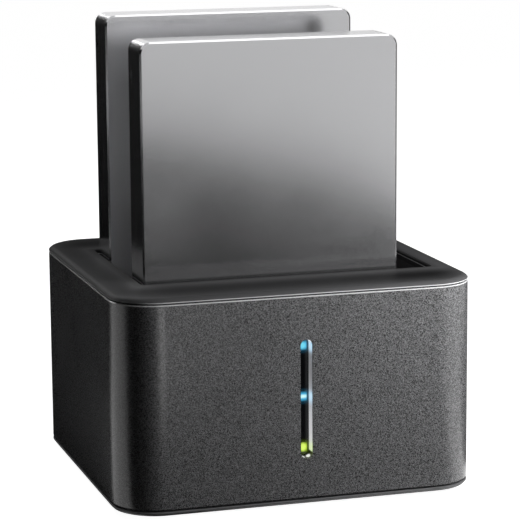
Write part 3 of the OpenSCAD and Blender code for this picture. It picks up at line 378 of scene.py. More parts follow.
@shared
def board_print(name):
    """Traces and pads under the solder mask of a circuit board."""
    tree, given, out = group(
        name,
        [("Vector", VECTOR, None), ("Mask Colour", COLOUR, (0.01, 0.07, 0.03, 1.0)),
         ("Pad Colour", COLOUR, (0.6, 0.45, 0.2, 1.0)), ("Trace Pitch", NUMBER, 0.0006)],
        SURFACE)
    put = given.outputs
    patches_per_trace, vias_per_trace = 0.11, 0.22
    line_share, via_reach = 0.42, 0.09
    along_above, across_below = 0.55, 0.3
    mask_matt, trace_matt, via_matt = 0.38, 0.05, -0.12
    scale = maths(tree, "DIVIDE", 1.0, put["Trace Pitch"])
    field = add(tree, "ShaderNodeTexVoronoi", {
        "Vector": put["Vector"], "Scale": maths(tree, "MULTIPLY", scale, patches_per_trace),
        "Randomness": 0.7}, distance="CHEBYCHEV")
    pick = add(tree, "ShaderNodeSeparateColor", {0: field.outputs["Color"]}).outputs[0]
    place = add(tree, "ShaderNodeSeparateXYZ", {0: put["Vector"]})
    lines = []
    for axis in (0, 1, 2):
        turn = maths(tree, "FRACT", maths(tree, "MULTIPLY", place.outputs[axis], scale))
        lines.append(maths(tree, "LESS_THAN", turn, line_share))
    along = maths(tree, "MULTIPLY", maths(tree, "GREATER_THAN", pick, along_above), lines[0])
    across = maths(tree, "MULTIPLY", maths(tree, "LESS_THAN", pick, across_below),
                   maths(tree, "MULTIPLY", lines[1], lines[2]))
    trace = maths(tree, "MAXIMUM", along, across)
    dots = add(tree, "ShaderNodeTexVoronoi", {
        "Vector": put["Vector"], "Scale": maths(tree, "MULTIPLY", scale, vias_per_trace),
        "Randomness": 0.9})
    via = maths(tree, "LESS_THAN", dots.outputs["Distance"], via_reach)
    lighter = add(tree, "ShaderNodeHueSaturation", {"Color": put["Mask Colour"], "Value": 1.7})
    printed = blend(tree, trace, put["Mask Colour"], lighter.outputs[0])
    printed = blend(tree, via, printed, put["Pad Colour"])
    matt = maths(tree, "MULTIPLY_ADD", trace, trace_matt, mask_matt)
    matt = maths(tree, "MULTIPLY_ADD", via, via_matt, matt)
    raised = maths(tree, "MAXIMUM", trace, via)
    give(tree, out, Colour=printed, Roughness=matt, Height=raised)


@shared
def soft_spot(name):
    """A soft mask about a point, for a light's glow and for painted glow, painted highlights and painted
    shade.
    """
    tree, given, out = group(
        name,
        [("Vector", VECTOR, None), ("Centre", VECTOR, (0.0, 0.0, 0.0)),
         ("Half Size", VECTOR, (0.001, 0.01, 0.001)), ("Core", NUMBER, 0.0)],
        [("Mask", NUMBER)])
    put = given.outputs
    off = vector_maths(tree, "SUBTRACT", put["Vector"], put["Centre"])
    share = vector_maths(tree, "DIVIDE", off, put["Half Size"])
    reach = add(tree, "ShaderNodeVectorMath", {0: share}, operation="LENGTH").outputs["Value"]
    mask = add(tree, "ShaderNodeMapRange", {"Value": reach, "From Min": 1.0, "From Max": put["Core"],
                                            "To Min": 0.0, "To Max": 1.0}, interpolation_type="SMOOTHSTEP")
    give(tree, out, Mask=mask.outputs[0])


@shared
def edge_sheen(name):
    """A mask for painted sheen that fades away from a round-cornered outline seen from above."""
    tree, given, out = group(
        name,
        [("Vector", VECTOR, None), ("Middle", VECTOR, (0.0, 0.0, 0.0)),
         ("Half Size", VECTOR, (0.05, 0.05, 0.0)), ("Corner", NUMBER, 0.01), ("Reach", NUMBER, 0.01)],
        [("Mask", NUMBER)])
    put = given.outputs
    off = vector_maths(tree, "ABSOLUTE", vector_maths(tree, "SUBTRACT", put["Vector"], put["Middle"]))
    past = add(tree, "ShaderNodeSeparateXYZ", {0: vector_maths(tree, "SUBTRACT", off, put["Half Size"])})
    across, along = [maths(tree, "ADD", past.outputs[axis], put["Corner"]) for axis in (0, 1)]
    outside = maths(tree, "SQRT", maths(tree, "ADD", *[
        maths(tree, "POWER", maths(tree, "MAXIMUM", side, 0.0), 2.0) for side in (across, along)]))
    inside = maths(tree, "MINIMUM", maths(tree, "MAXIMUM", across, along), 0.0)
    gap = maths(tree, "SUBTRACT", maths(tree, "ADD", outside, inside), put["Corner"])
    near = add(tree, "ShaderNodeMapRange", {
        "Value": maths(tree, "DIVIDE", maths(tree, "ABSOLUTE", gap), put["Reach"]),
        "From Min": 1.0, "From Max": 0.0})
    give(tree, out, Mask=maths(tree, "POWER", near.outputs[0], 2.0))


# Finishes

def blank(owner):
    """Empties the node tree of a material or a world and gives it."""
    owner.use_nodes = True
    owner.node_tree.nodes.clear()
    return owner.node_tree


def finish(name, effect, inputs, bump, depth, sockets):
    """Makes a material whose colour, roughness and relief come from a shared group."""
    material = bpy.data.materials.new(name)
    tree = blank(material)
    place = tree.nodes.new("ShaderNodeTexCoord").outputs["Object"]
    surface = add(tree, "ShaderNodeGroup", {"Vector": place, **inputs}, node_tree=effect).outputs
    relief = add(tree, "ShaderNodeBump", {"Height": surface["Height"], "Strength": bump, "Distance": depth})
    shader = add(tree, "ShaderNodeBsdfPrincipled", {
        "Base Color": surface["Colour"], "Roughness": surface["Roughness"], "Normal": relief.outputs[0],
        **sockets})
    add(tree, "ShaderNodeOutputMaterial", {"Surface": shader.outputs[0]})
    return material


def moulded(name, colour, grain, spread, roughness, bump=0.3, depth=0.02 * MM, cloud=0.05, matt=0.08,
            specular=0.5, metallic=0.0):
    """A moulded plastic or blasted metal finish."""
    inputs = {"Colour": rgba(colour), "Grain Size": grain, "Colour Spread": spread, "Roughness": roughness,
              "Roughness Spread": matt, "Cloud Spread": cloud}
    return finish(name, moulded_grain(), inputs, bump, depth,
                  {"Specular IOR Level": specular, "Metallic": metallic})


def metal(name, colour, streaks, spread, roughness):
    """A drawn, turned or plated metal finish."""
    inputs = {"Colour": rgba(colour), "Streaks": streaks, "Colour Spread": spread, "Roughness": roughness}
    return finish(name, drawn_metal(), inputs, bump=0.1, depth=0.005 * MM, sockets={"Metallic": 1.0})


def printed_board(name, look):
    """A circuit board with traces and pads."""
    inputs = {"Mask Colour": rgba(look.board), "Pad Colour": rgba(look.copper), "Trace Pitch": look.trace}
    return finish(name, board_print(), inputs, bump=0.25, depth=0.03 * MM, sockets={})


def sockets_of(material):
    """The tree, shader and object coordinates of a finished material."""
    tree = material.node_tree
    shader = next(node for node in tree.nodes if node.type == "BSDF_PRINCIPLED")
    place = next(node for node in tree.nodes if node.type == "TEX_COORD").outputs["Object"]
    return tree, shader, place


def spot_mask(tree, place, centre, half, core):
    """Places the soft spot group and gives its mask."""
    inputs = {"Vector": place, "Centre": centre, "Half Size": half, "Core": core}
    return add(tree, "ShaderNodeGroup", inputs, node_tree=soft_spot()).outputs["Mask"]


def tint_over(tree, shader, mask, colour):
    """Blends a colour over a finish where a mask is set."""
    base = shader.inputs["Base Color"]
    tree.links.new(blend(tree, mask, base.links[0].from_socket, rgba(colour)), base)


def burnish(material, level, half, core, colour):
    """Blends a colour over a level band of a moulded finish: a painted highlight along the seam edges and a
    painted shade at the liner's foot.
    """
    tree, shader, place = sockets_of(material)
    tint_over(tree, shader, spot_mask(tree, place, (0.0, 0.0, level), (FAR, FAR, half), core), colour)
    return material


def polish(material, middle, half, corner, reach, colour):
    """Blends a painted sheen colour over a moulded finish along an outline."""
    tree, shader, place = sockets_of(material)
    inputs = {"Vector": place, "Middle": middle, "Half Size": half, "Corner": corner, "Reach": reach}
    sheen = add(tree, "ShaderNodeGroup", inputs, node_tree=edge_sheen())
    tint_over(tree, shader, sheen.outputs["Mask"], colour)


def shine(material, base, spots):
    """Lets a finish glow: a base colour, with soft spots of centre, half size, core and colour over it."""
    tree, shader, place = sockets_of(material)
    tint = rgba(base)
    for centre, half, core, colour in spots:
        tint = blend(tree, spot_mask(tree, place, centre, half, core), tint, rgba(colour))
    tree.links.new(tint, shader.inputs["Emission Color"])
    shader.inputs["Emission Strength"].default_value = 1.0
    return material


def paint(material, *nodes):
    """Gives CAD nodes a material through their own slots."""
    for name in nodes:
        piece = frame["nodes"][name]
        if not piece.material_slots:
            raise RuntimeError(name + " has no material slot")
        for slot in piece.material_slots:
            slot.material = material


# Pieces made here

def link_object(name, data):
    """Adds an object to the scene and gives it."""
    thing = bpy.data.objects.new(name, data)
    bpy.context.scene.collection.objects.link(thing)
    return thing


def link_piece(name, mesh, body, slot, *stands_for):
    """Adds a finished mesh as a piece that rides on a body."""
    piece = link_object(name, mesh)
    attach(piece, body)
    if stands_for:
        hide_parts(*stands_for)


def settle(name, points, tree, values):
    """Runs a geometry tree on a set of points and gives the plain mesh."""
    seed = bpy.data.meshes.new(name + "_points")
    seed.from_pydata([tuple(point) for point in points], [], [])
    source = link_object(name + "_points", seed)
    modifier = source.modifiers.new("shape", "NODES")
    modifier.node_group = tree
    for item in tree.interface.items_tree:
        if item.item_type == "SOCKET" and item.in_out == "INPUT" and item.name in values:
            modifier[item.identifier] = values[item.name]
    bpy.context.view_layer.update()
    ready = source.evaluated_get(bpy.context.evaluated_depsgraph_get())
    mesh = bpy.data.meshes.new_from_object(ready)
    mesh.name = name
    source.modifiers.remove(modifier)
    bpy.data.objects.remove(source)
    bpy.data.meshes.remove(seed)
    if not mesh.polygons:
        raise RuntimeError(name + " came out empty")
    mesh.shade_smooth()
    mesh.set_sharp_from_angle(angle=SMOOTH_ANGLE)
    return mesh


def geometry_tree(name, inputs):
    """Starts a geometry tree with named inputs."""
    tree = bpy.data.node_groups.new(name, "GeometryNodeTree")
    tree.interface.new_socket("Geometry", in_out="INPUT", socket_type="NodeSocketGeometry")
    for label, kind in inputs:
        tree.interface.new_socket(label, in_out="INPUT", socket_type=kind)
    tree.interface.new_socket("Geometry", in_out="OUTPUT", socket_type="NodeSocketGeometry")
    return tree, tree.nodes.new("NodeGroupInput").outputs, tree.nodes.new("NodeGroupOutput").inputs


def span(tree, x=0.0, y=0.0, z=0.0):
    """Joins three numbers to a vector."""
    return add(tree, "ShaderNodeCombineXYZ", {0: x, 1: y, 2: z}).outputs[0]


def cross_screws():
    """Cross-recessed screws: each point is the middle of a head's outer face."""
    tree, put, out = geometry_tree("cross_screws", [
        ("Head Width", NUMBER), ("Head Height", NUMBER), ("Shank Width", NUMBER), ("Shank Length", NUMBER),
        ("Recess Length", NUMBER), ("Recess Width", NUMBER), ("Recess Depth", NUMBER),
        ("Facing", "NodeSocketRotation"), ("Seed", "NodeSocketInt"), ("Finish", "NodeSocketMaterial")])
    radius = maths(tree, "MULTIPLY", put["Head Width"], 0.5)
    head = add(tree, "GeometryNodeMeshCone", {
        "Vertices": 48, "Radius Bottom": radius, "Radius Top": maths(tree, "MULTIPLY", radius, HEAD_TAPER),
        "Depth": put["Head Height"]})
    under_head = maths(tree, "MULTIPLY", put["Head Height"], -1.0)
    head = add(tree, "GeometryNodeTransform", {
        "Geometry": head.outputs["Mesh"], "Translation": span(tree, z=under_head)})
    deep = maths(tree, "MULTIPLY", put["Recess Depth"], 2.0)
    arms = [add(tree, "GeometryNodeMeshCube", {"Size": size}).outputs["Mesh"] for size in (
        span(tree, put["Recess Length"], put["Recess Width"], deep),
        span(tree, put["Recess Width"], put["Recess Length"], deep))]
    cut = add(tree, "GeometryNodeMeshBoolean", {0: head.outputs[0]}, operation="DIFFERENCE")
    for arm in arms:
        tree.links.new(arm, cut.inputs["Mesh 2"])
    shank = add(tree, "GeometryNodeMeshCylinder", {
        "Vertices": 24, "Radius": maths(tree, "MULTIPLY", put["Shank Width"], 0.5),
        "Depth": put["Shank Length"]})
    drop = maths(tree, "MULTIPLY_ADD", put["Shank Length"], -0.5, under_head)
    shank = add(tree, "GeometryNodeTransform", {"Geometry": shank.outputs["Mesh"],
                                                "Translation": span(tree, z=drop)})
    whole = tree.nodes.new("GeometryNodeJoinGeometry")
    for part in (cut.outputs["Mesh"], shank.outputs[0]):
        tree.links.new(part, whole.inputs[0])
    rows = add(tree, "GeometryNodeInstanceOnPoints", {
        "Points": put["Geometry"], "Instance": whole.outputs[0], "Rotation": put["Facing"]})
    spin = add(tree, "FunctionNodeRandomValue", {"Seed": put["Seed"]}, data_type="FLOAT")
    spin.inputs[2].default_value = 0.0
    spin.inputs[3].default_value = math.tau / 4
    turned = add(tree, "GeometryNodeRotateInstances", {
        "Instances": rows.outputs[0],
        "Rotation": add(tree, "FunctionNodeEulerToRotation", {0: span(tree, z=spin.outputs[1])}).outputs[0]})
    plain = add(tree, "GeometryNodeRealizeInstances", {0: turned.outputs[0]})
    done = add(tree, "GeometryNodeSetMaterial", {"Geometry": plain.outputs[0], "Material": put["Finish"]})
    tree.links.new(done.outputs[0], out["Geometry"])
    return tree


def contact_pads():
    """Rows of flat contact pads along X; each point is the middle of the first pad of a row."""
    tree, put, out = geometry_tree("contact_pads", [
        ("Count", "NodeSocketInt"), ("Pitch", NUMBER), ("Pad Width", NUMBER), ("Pad Length", NUMBER),
        ("Pad Thickness", NUMBER), ("Finish", "NodeSocketMaterial")])
    line = add(tree, "GeometryNodeMeshLine", {"Count": put["Count"], "Offset": span(tree, put["Pitch"])})
    pad = add(tree, "GeometryNodeMeshCube", {
        "Size": span(tree, put["Pad Width"], put["Pad Length"], put["Pad Thickness"])})
    row = add(tree, "GeometryNodeInstanceOnPoints", {
        "Points": line.outputs[0], "Instance": pad.outputs["Mesh"]})
    rows = add(tree, "GeometryNodeInstanceOnPoints", {"Points": put["Geometry"], "Instance": row.outputs[0]})
    plain = add(tree, "GeometryNodeRealizeInstances", {0: rows.outputs[0]})
    done = add(tree, "GeometryNodeSetMaterial", {"Geometry": plain.outputs[0], "Material": put["Finish"]})
    tree.links.new(done.outputs[0], out["Geometry"])
    return tree


# Operators

class DOCK_OT_housing(bpy.types.Operator):
    """Finishes the shell, bezel, bay, base and feet"""
    bl_idname = "dock.housing"
    bl_label = "Housing"

    def execute(self, context):
        look = context.scene.dock_housing
        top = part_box("outer_shell")[1].z
        half = look.seam_highlight_width / 2
        seam_highlight_core = 0.6
        shell = moulded("spark_grain_shell", look.shell, look.shell_grain, look.shell_spread, roughness=0.27,
                        bump=0.3, depth=0.04 * MM, cloud=0.04, specular=0.45)
        # Painted highlight along the shell's top seam edge
        paint(burnish(shell, top - half, half, seam_highlight_core, look.seam_highlight), "outer_shell")
        bezel = moulded("satin_bezel", look.bezel, look.bezel_grain, spread=0.16, roughness=0.5, bump=0.12,
                        depth=0.01 * MM, specular=0.02)
        # Painted sheen, lighter near the bezel's outer edge and round the bay's mouth
        for node, corner, reach, colour in (("bay_well", look.bay_corner, look.mouth_reach, look.mouth),
                                            ("outer_shell", look.corner, look.crown_reach, look.crown)):
            low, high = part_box(node)
            polish(bezel, (low + high) / 2, (high - low) / 2, corner, reach, colour)
        # Painted highlight along the bezel's lower seam edge
        paint(burnish(bezel, top + look.seam + half, half, seam_highlight_core, look.seam_highlight), "top_bezel")
        paint(moulded("base_plastic_fine", look.base, look.shell_grain, spread=0.3, roughness=0.55,
                      bump=0.35, depth=0.03 * MM, specular=0.3), "base_cover")
        paint(moulded("bay_black", look.bay, look.bezel_grain * 2, spread=0.25, roughness=0.55, bump=0.2,
                      specular=0.3), "bay_well")
        paint(moulded("foot_rubber_matt", look.rubber, 0.3 * MM, spread=0.3, roughness=0.85, bump=0.4,
                      depth=0.03 * MM, specular=0.25), "rubber_feet")
        return {"FINISHED"}


class DOCK_OT_light_bar(bpy.types.Operator):
    """Finishes the slot's liner, its window and the three lights"""
    bl_idname = "dock.light_bar"
    bl_label = "Light bar"

    def execute(self, context):
        look = context.scene.dock_lights
        low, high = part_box("light_window")
        blue_low, blue_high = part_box("blue_lenses")
        green_low, green_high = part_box("green_lens")
        half = (green_high.z - green_low.z) / 2
        middle = (low.x + high.x) / 2
        foot, head = low.z, high.z
        # More than the bar is deep, so that a spot reaches all the way through
        deep = 20.0 * MM
        lens_edge, head_glow, foot_shade, foot_core = 0.75 * MM, 1.3 * MM, 1.6 * MM, 0.75
        upper, centre, lower = [(middle, low.y, z) for z in (
            blue_high.z - half, blue_low.z + half, (green_low.z + green_high.z) / 2)]
        black = (0.0, 0.0, 0.0)
        lamps = ((upper, look.blue), (centre, look.blue), (lower, look.green))

        window = moulded("window_smoke", look.window, 0.5 * MM, spread=0.2, roughness=0.16, bump=0.03,
                         depth=0.005 * MM, matt=0.04, specular=0.4)
        # Painted glow of the three lights in the smoked window
        reach = (3.0 * MM, deep, half + look.halo)
        paint(shine(window, black, [(spot, reach, 0.3, [part * look.halo_share for part in colour])
                                    for spot, colour in lamps]), "light_window")

        # Each spot has its centre, half size, core and colour; the last one shades the lens beside the liner
        shade = ((high.x, low.y, foot), (lens_edge, deep, FAR), 0.45, black)
        wide = (4.0 * MM, deep, half)
        blue_cores = [(upper, (1.2 * MM, deep, 1.3 * MM), 0.2, look.blue_upper_core),
                      (centre, (2.0 * MM, deep, 0.75 * MM), 0.15, look.blue_core)]
        green_cores = [(lower, (1.2 * MM, deep, 1.5 * MM), 0.3, look.green_core)]
        for name, node, spots, cores in (("lens_blue", "blue_lenses", lamps[:2], blue_cores),
                                         ("lens_green", "green_lens", lamps[2:], green_cores)):
            lens = moulded(name, look.window, 0.3 * MM, spread=0.15, roughness=0.25, bump=0.05,
                           depth=0.005 * MM)
            glows = [(spot, wide, 0.3, colour) for spot, colour in spots] + cores
            paint(shine(lens, black, glows + [shade]), node)

        # The liner glows with painted light: an emitted glow brighter at the foot and tinted near each
        # light, painted highlights at the head and two at the foot, and a painted shade at the foot
        liner = moulded("liner_bright", look.liner, 0.3 * MM, spread=0.06, roughness=0.3, bump=0.05,
                        depth=0.01 * MM, specular=0.6)
        painted_glow_share, painted_glow_least = 0.4, 0.3
        glows = [((middle, low.y, foot), (deep, deep, (head - foot) * 0.85), 0.15, look.liner_painted_glow)]
        glows += [(spot, (deep, deep, half + look.halo), 0.2,
                   [part * painted_glow_share + painted_glow_least for part in colour]) for spot, colour in lamps]
        glows += [((middle, low.y, head), (deep, deep, head_glow), 0.5, look.liner_painted_highlight),
                  ((middle, low.y, foot), (deep, deep, foot_shade), foot_core, black)]
        glows += [((middle + side, low.y - 1.7 * MM, foot), (0.75 * MM, 1.4 * MM, 1.0 * MM), 0.5,
                   look.liner_painted_highlight) for side in (-0.7 * MM, 0.85 * MM)]
        burnish(liner, foot, foot_shade, foot_core, look.window)
        paint(shine(liner, look.liner_painted_dim, glows), "light_liner")
        return {"FINISHED"}


class DOCK_OT_drives(bpy.types.Operator):
    """Finishes the two drives, inside and out"""
    bl_idname = "dock.drives"
    bl_label = "Drives"

    def execute(self, context):
        look = context.scene.dock_drives
        parts = context.scene.dock_finish
        case = moulded("drive_case_blasted", look.case, look.grain, spread=0.1, roughness=look.roughness,
                       bump=0.12, depth=0.01 * MM, cloud=0.03, matt=0.05, metallic=look.sheen)
        cover = moulded("drive_cover_painted", look.cover, look.grain, spread=0.08, roughness=0.45, bump=0.1,
                        depth=0.01 * MM, metallic=0.1)
        plug = moulded("drive_plug_plastic", look.plug, 0.15 * MM, spread=0.2, roughness=0.5, specular=0.35)
        card = printed_board("drive_card", parts)
        chip = moulded("drive_chip_package", parts.package, 0.12 * MM, spread=0.25, roughness=0.55)
        gold = metal("drive_contact_gold", parts.gold, PLATED, spread=0.08, roughness=0.25)
        for side in ("front", "rear"):
            for material, part in ((case, "case"), (cover, "cover"), (plug, "plug"), (card, "card"),
                                   (chip, "chips"), (gold, "contacts")):
                paint(material, f"{side}_drive_{part}")
        return {"FINISHED"}


class DOCK_OT_electronics(bpy.types.Operator):
    """Finishes the boards and the parts on them"""
    bl_idname = "dock.electronics"
    bl_label = "Boards"

    def execute(self, context):
        look = context.scene.dock_finish
        paint(printed_board("board_laminate_green", look), "main_board", "light_board")
        paint(moulded("chip_package_black", look.package, 0.12 * MM, spread=0.25, roughness=0.55),
              "bridge_chip", "flash_chip", "board_regulators")
        paint(metal("can_aluminium", look.can, SPUN, spread=0.08, roughness=0.3),
              "board_capacitors", "crystal")
        paint(moulded("coil_ferrite_grey", look.ferrite, 0.2 * MM, spread=0.4, roughness=0.7), "board_coils")
        paint(moulded("passive_ceramic_tan", look.ceramic, 0.1 * MM, spread=0.2, roughness=0.5),
              "board_passives")
        paint(moulded("connector_black", look.connector, 0.15 * MM, spread=0.2, roughness=0.5,
                      specular=0.35),
              "front_socket", "rear_socket", "clone_switch", "light_header", "power_switch_housing",
              "power_jack", "usb_port_tongue")
        paint(metal("contact_gold", look.gold, PLATED, spread=0.08, roughness=0.25),
              "front_socket_contacts", "rear_socket_contacts", "light_header_pins")
        paint(moulded("lamp_resin_clear", look.resin, 0.2 * MM, spread=0.08, roughness=0.2), "light_lamps")
        paint(metal("screw_zinc", look.steel, TURNED, spread=0.12, roughness=0.32),
              "board_screws", "light_screws")
        return {"FINISHED"}


class DOCK_OT_ports(bpy.types.Operator):
    """Finishes the ports, the power switch and the clone button"""
    bl_idname = "dock.ports"
    bl_label = "Ports and keys"

    def execute(self, context):
        look = context.scene.dock_finish
        paint(metal("port_nickel", look.nickel, DRAWN, spread=0.07, roughness=0.24),
              "usb_port_shell", "power_jack_pin", "power_switch_terminals")
        paint(moulded("key_black_satin", look.keys, 0.1 * MM, spread=0.15, roughness=0.36, bump=0.1,
                      depth=0.01 * MM, specular=0.45), "power_rocker", "clone_button")
        paint(moulded("plunger_ivory", look.plunger, 0.2 * MM, spread=0.08, roughness=0.5), "clone_plunger")
        return {"FINISHED"}


class DOCK_OT_screws(bpy.types.Operator):
    """Makes the cross-recessed screws of the base and of the drives' covers"""
    bl_idname = "dock.screws"
    bl_label = "Screws"

    def execute(self, context):
        size = context.scene.dock_sizes
        look = context.scene.dock_finish
        oxide_share = 0.16
        steel = metal("screw_zinc_cross", look.steel, TURNED, spread=0.12, roughness=0.32)
        black = metal("screw_black_oxide", [part * oxide_share for part in look.steel], TURNED, spread=0.2,
                      roughness=0.42)
        tree = cross_screws()
        down = Matrix.Rotation(math.pi, 3, "X").to_euler()
        back = Matrix.Rotation(-math.pi / 2, 3, "X").to_euler()

        low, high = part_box("base_screws")
        inset = size.base_head / 2
        spots = [(x, y, low.z) for x in (low.x + inset, high.x - inset)
                 for y in (low.y + inset, high.y - inset)]
        mesh = settle("base_cross_screws", spots, tree, self.values(
            size, size.base_head, size.base_head_height, size.base_shank, high.z - low.z, down, 3, black))
        link_piece("base_cross_screws", mesh, "dock", "screw_steel", "base_screws")

        inset = size.cover_head / 2
        for seed, side in ((5, "front_drive"), (8, "rear_drive")):
            low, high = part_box(side + "_screws")
            spots = [(x, high.y, z) for x in (low.x + inset, high.x - inset)
                     for z in (low.z + inset, high.z - inset)]
            mesh = settle(side + "_cross_screws", spots, tree, self.values(
                size, size.cover_head, size.cover_head_height, size.cover_shank, high.y - low.y, back, seed,
                steel))
            link_piece(side + "_cross_screws", mesh, side, "screw_steel", side + "_screws")
        return {"FINISHED"}

    def values(self, size, head, height, shank, whole, facing, seed, finish_used):
        """Inputs of the screw tree for one kind of screw."""
        return {"Head Width": head, "Head Height": height, "Shank Width": shank,
                "Shank Length": whole - height, "Recess Length": head * size.recess_share,
                "Recess Width": head * size.recess_width, "Recess Depth": height * size.recess_depth,
                "Facing": facing, "Seed": seed, "Finish": finish_used}


class DOCK_OT_usb_pads(bpy.types.Operator):
    """Makes the contact pads on the USB port's tongue"""
    bl_idname = "dock.usb_pads"
    bl_label = "USB pads"

    def execute(self, context):
        size = context.scene.dock_sizes
        gold = metal("usb_pad_gold", context.scene.dock_finish.gold, PLATED_ACROSS, spread=0.08,
                     roughness=0.22)
        low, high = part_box("usb_port_tongue")
        start = (low.x + high.x) / 2 - (size.pad_count - 1) * size.pad_pitch / 2
        end_gap, proud_share = 0.5 * MM, 0.4
        along = high.y - end_gap - size.pad_length / 2
        lift = size.pad_thickness * proud_share
        mesh = settle("usb_contact_pads", [(start, along, high.z + lift), (start, along, low.z - lift)],
                      contact_pads(), {"Count": size.pad_count, "Pitch": size.pad_pitch,
                                       "Pad Width": size.pad_width, "Pad Length": size.pad_length,
                                       "Pad Thickness": size.pad_thickness, "Finish": gold})
        link_piece("usb_contact_pads", mesh, "dock", "contact_metal")
        return {"FINISHED"}


class DOCK_OT_rocker_marks(bpy.types.Operator):
    """Makes the bar and ring on the rocker"""
    bl_idname = "dock.rocker_marks"
    bl_label = "Rocker marks"

    def execute(self, context):
        size = context.scene.dock_sizes
        hinge = next(joint for joint in frame["joints"] if joint["name"] == "power_rocker_tilt")
        half = math.radians(hinge["range_deg"][1]) / 2
        pivot = Vector(hinge["pos_m"])
        reach = 5.6 * MM
        crest = 1.2 * MM
        thick = 0.05 * MM
        mesh = bpy.data.meshes.new("rocker_marks")
        shape = bmesh.new()
        rest = Matrix.Translation(pivot) @ Matrix.Rotation(-half, 4, "Z")
        for side, ring in ((-1, True), (1, False)):
            rise = crest + reach / 2 * math.tan(half)
            seat = (rest @ Matrix.Translation((side * reach / 2, rise, 0.0))
                    @ Matrix.Rotation(side * half, 4, "Z"))
            self.mark(shape, seat, size.mark_height, size.mark_line, thick, ring)
        bmesh.ops.recalc_face_normals(shape, faces=shape.faces)
        shape.to_mesh(mesh)
        shape.free()
        mesh.materials.append(moulded("rocker_mark_print", context.scene.dock_finish.mark, 0.1 * MM,
                                      spread=0.12, roughness=0.6))
        link_piece("rocker_marks", mesh, "rocker", "key_plastic")
        return {"FINISHED"}

    def mark(self, shape, seat, height, line, thick, ring):
        """Adds a raised ring or bar whose face looks along +Y of its seat."""
        steps = 40
        rims = []
        for level in (-thick, thick):
            for outer in (True, False):
                points = []
                for step in range(steps):
                    turn = math.tau * step / steps
                    if ring:
                        radius = height / 2 if outer else height / 2 - line
                        end = 0.0
                    else:
                        radius = line / 2 if outer else line / 6
                        end = math.copysign(height / 2 - line / 2, math.sin(turn))
                    spot = Vector((radius * math.cos(turn), level, end + radius * math.sin(turn)))
                    points.append(shape.verts.new(seat @ spot))
                rims.append(points)
        outer_low, inner_low, outer_high, inner_high = rims
        pairs = [(outer_low, outer_high), (outer_high, inner_high)]
        pairs += [(inner_high, inner_low), (inner_low, outer_low)] if ring else []
        for first, second in pairs:
            for step in range(steps):
                after = (step + 1) % steps
                shape.faces.new((first[step], first[after], second[after], second[step]))
        if not ring:
            shape.faces.new(inner_high)
            shape.faces.new(outer_low)
            for vert in inner_low:
                shape.verts.remove(vert)


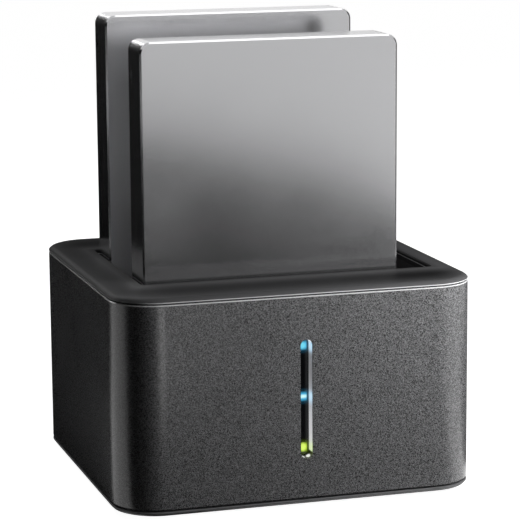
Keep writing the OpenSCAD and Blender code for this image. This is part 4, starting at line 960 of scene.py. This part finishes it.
class DOCK_OT_stage(bpy.types.Operator):
    """Sets up the floor, the lamps, the background and the camera"""
    bl_idname = "dock.stage"
    bl_label = "Stage"

    def execute(self, context):
        stage = context.scene.dock_stage
        scene = context.scene
        scene.view_settings.view_transform = "Standard"
        self.background(scene, stage)
        self.floor(stage)
        dark = bpy.data.materials.new("flag_black")
        dark.use_nodes = True
        shader = dark.node_tree.nodes["Principled BSDF"].inputs
        for label, value in (("Base Color", rgba((0.004,) * 3)), ("Roughness", 1.0),
                             ("Specular IOR Level", 0.0)):
            shader[label].default_value = value
        for name, height, outline in FLAGS:
            self.flag(dark, name, outline, height)
        lamps = {name: self.lamp(name, getattr(stage, name), *where) for name, *where in LAMPS}
        for name in ("gap", "strip"):
            lamps[name].data.spread = NARROW
        for name in ("key", "strip"):
            lamps[name].visible_glossy = False
        lamps["band"].visible_diffuse = False
        camera = link_object("camera", bpy.data.cameras.new("camera"))
        camera.data.lens = stage.lens
        camera.data.sensor_width = 36.0
        camera.data.clip_end = 50.0
        camera.location = stage.eye
        turn = (Matrix.Rotation(-stage.yaw, 3, "Z") @ Matrix.Rotation(math.pi / 2 - stage.pitch, 3, "X")
                @ Matrix.Rotation(stage.roll, 3, "Z"))
        camera.rotation_euler = turn.to_euler()
        scene.camera = camera
        return {"FINISHED"}

    def seen(self, tree):
        """Light path share that is 1 for what the camera sees directly, in metal or through glass."""
        path = tree.nodes.new("ShaderNodeLightPath").outputs
        both = maths(tree, "MAXIMUM", path["Is Camera Ray"], path["Is Glossy Ray"])
        return maths(tree, "MAXIMUM", both, path["Is Transmission Ray"])

    def background(self, scene, stage):
        """White to look at, with a low even light."""
        world = bpy.data.worlds.new("studio")
        scene.world = world
        tree = blank(world)
        even, white = [add(tree, "ShaderNodeBackground", {"Color": WHITE, "Strength": strength}).outputs[0]
                       for strength in (stage.ambient, 1.0)]
        mix = add(tree, "ShaderNodeMixShader", {0: self.seen(tree), 1: even, 2: white})
        add(tree, "ShaderNodeOutputWorld", {"Surface": mix.outputs[0]})

    def floor(self, stage):
        """A pale floor that reads white and keeps the shadow."""
        mesh = bpy.data.meshes.new("floor")
        side, level = 8.0, -0.2 * MM
        corners = ((-side, -side), (side, -side), (side, side), (-side, side))
        mesh.from_pydata([(x, y, level) for x, y in corners], [], [(0, 1, 2, 3)])
        piece = link_object("floor", mesh)
        material = bpy.data.materials.new("floor_pale")
        tree = blank(material)
        pale = add(tree, "ShaderNodeBsdfDiffuse", {"Color": rgba(stage.floor)})
        glow = add(tree, "ShaderNodeEmission", {
            "Color": WHITE, "Strength": maths(tree, "MULTIPLY", self.seen(tree), stage.floor_glow)})
        both = add(tree, "ShaderNodeAddShader", {0: pale.outputs[0], 1: glow.outputs[0]})
        add(tree, "ShaderNodeOutputMaterial", {"Surface": both.outputs[0]})
        mesh.materials.append(material)

    def flag(self, dark, name, outline, height):
        """A black card that only reflections and bounced light meet, lying down or standing up."""
        lift = 0.5 * MM
        points = [(x, y, lift) for x, y in outline]
        if height:
            points += [(x, y, height) for x, y in reversed(outline)]
        mesh = bpy.data.meshes.new(name)
        mesh.from_pydata(points, [], [tuple(range(len(points)))])
        mesh.materials.append(dark)
        piece = link_object(name, mesh)
        piece.visible_camera = False
        piece.visible_shadow = False

    def lamp(self, name, power, spot, aim, size):
        """A soft box."""
        data = bpy.data.lights.new(name, "AREA")
        data.shape = "RECTANGLE"
        data.size, data.size_y = size
        data.energy = power
        lamp = link_object(name, data)
        lamp.location = spot
        lamp.visible_camera = False
        lamp.rotation_euler = (Vector(aim) - Vector(spot)).to_track_quat("-Z", "Y").to_euler()
        return lamp


STEPS = ("housing", "light_bar", "drives", "electronics", "ports", "screws", "usb_pads", "rocker_marks",
         "stage")


class DOCK_PT_panel(bpy.types.Panel):
    """Lists the dock's steps and values"""
    bl_idname = "DOCK_PT_panel"
    bl_label = "Drive dock"
    bl_space_type = "VIEW_3D"
    bl_region_type = "UI"
    bl_category = "Dock"

    def draw(self, context):
        for step in STEPS:
            self.layout.operator("dock." + step)
        for label in SETTINGS:
            values = getattr(context.scene, label)
            box = self.layout.box()
            box.label(text=values.bl_rna.description)
            for name in values.__annotations__:
                box.prop(values, name)


SETTINGS = {"dock_housing": HousingFinish, "dock_lights": LightFinish, "dock_drives": DriveFinish,
            "dock_finish": HardwareFinish, "dock_sizes": HardwareSizes, "dock_stage": StageSetup}
CLASSES = (*SETTINGS.values(), DOCK_OT_housing, DOCK_OT_light_bar, DOCK_OT_drives, DOCK_OT_electronics,
           DOCK_OT_ports, DOCK_OT_screws, DOCK_OT_usb_pads, DOCK_OT_rocker_marks, DOCK_OT_stage,
           DOCK_PT_panel)


def register():
    for kind in CLASSES:
        bpy.utils.register_class(kind)
    for label, kind in SETTINGS.items():
        setattr(bpy.types.Scene, label, PointerProperty(type=kind))


def unregister():
    for label in SETTINGS:
        delattr(bpy.types.Scene, label)
    for kind in reversed(CLASSES):
        bpy.utils.unregister_class(kind)


def main():
    register()
    for step in STEPS:
        getattr(bpy.ops.dock, step)()


if __name__ == "__main__":
    main()
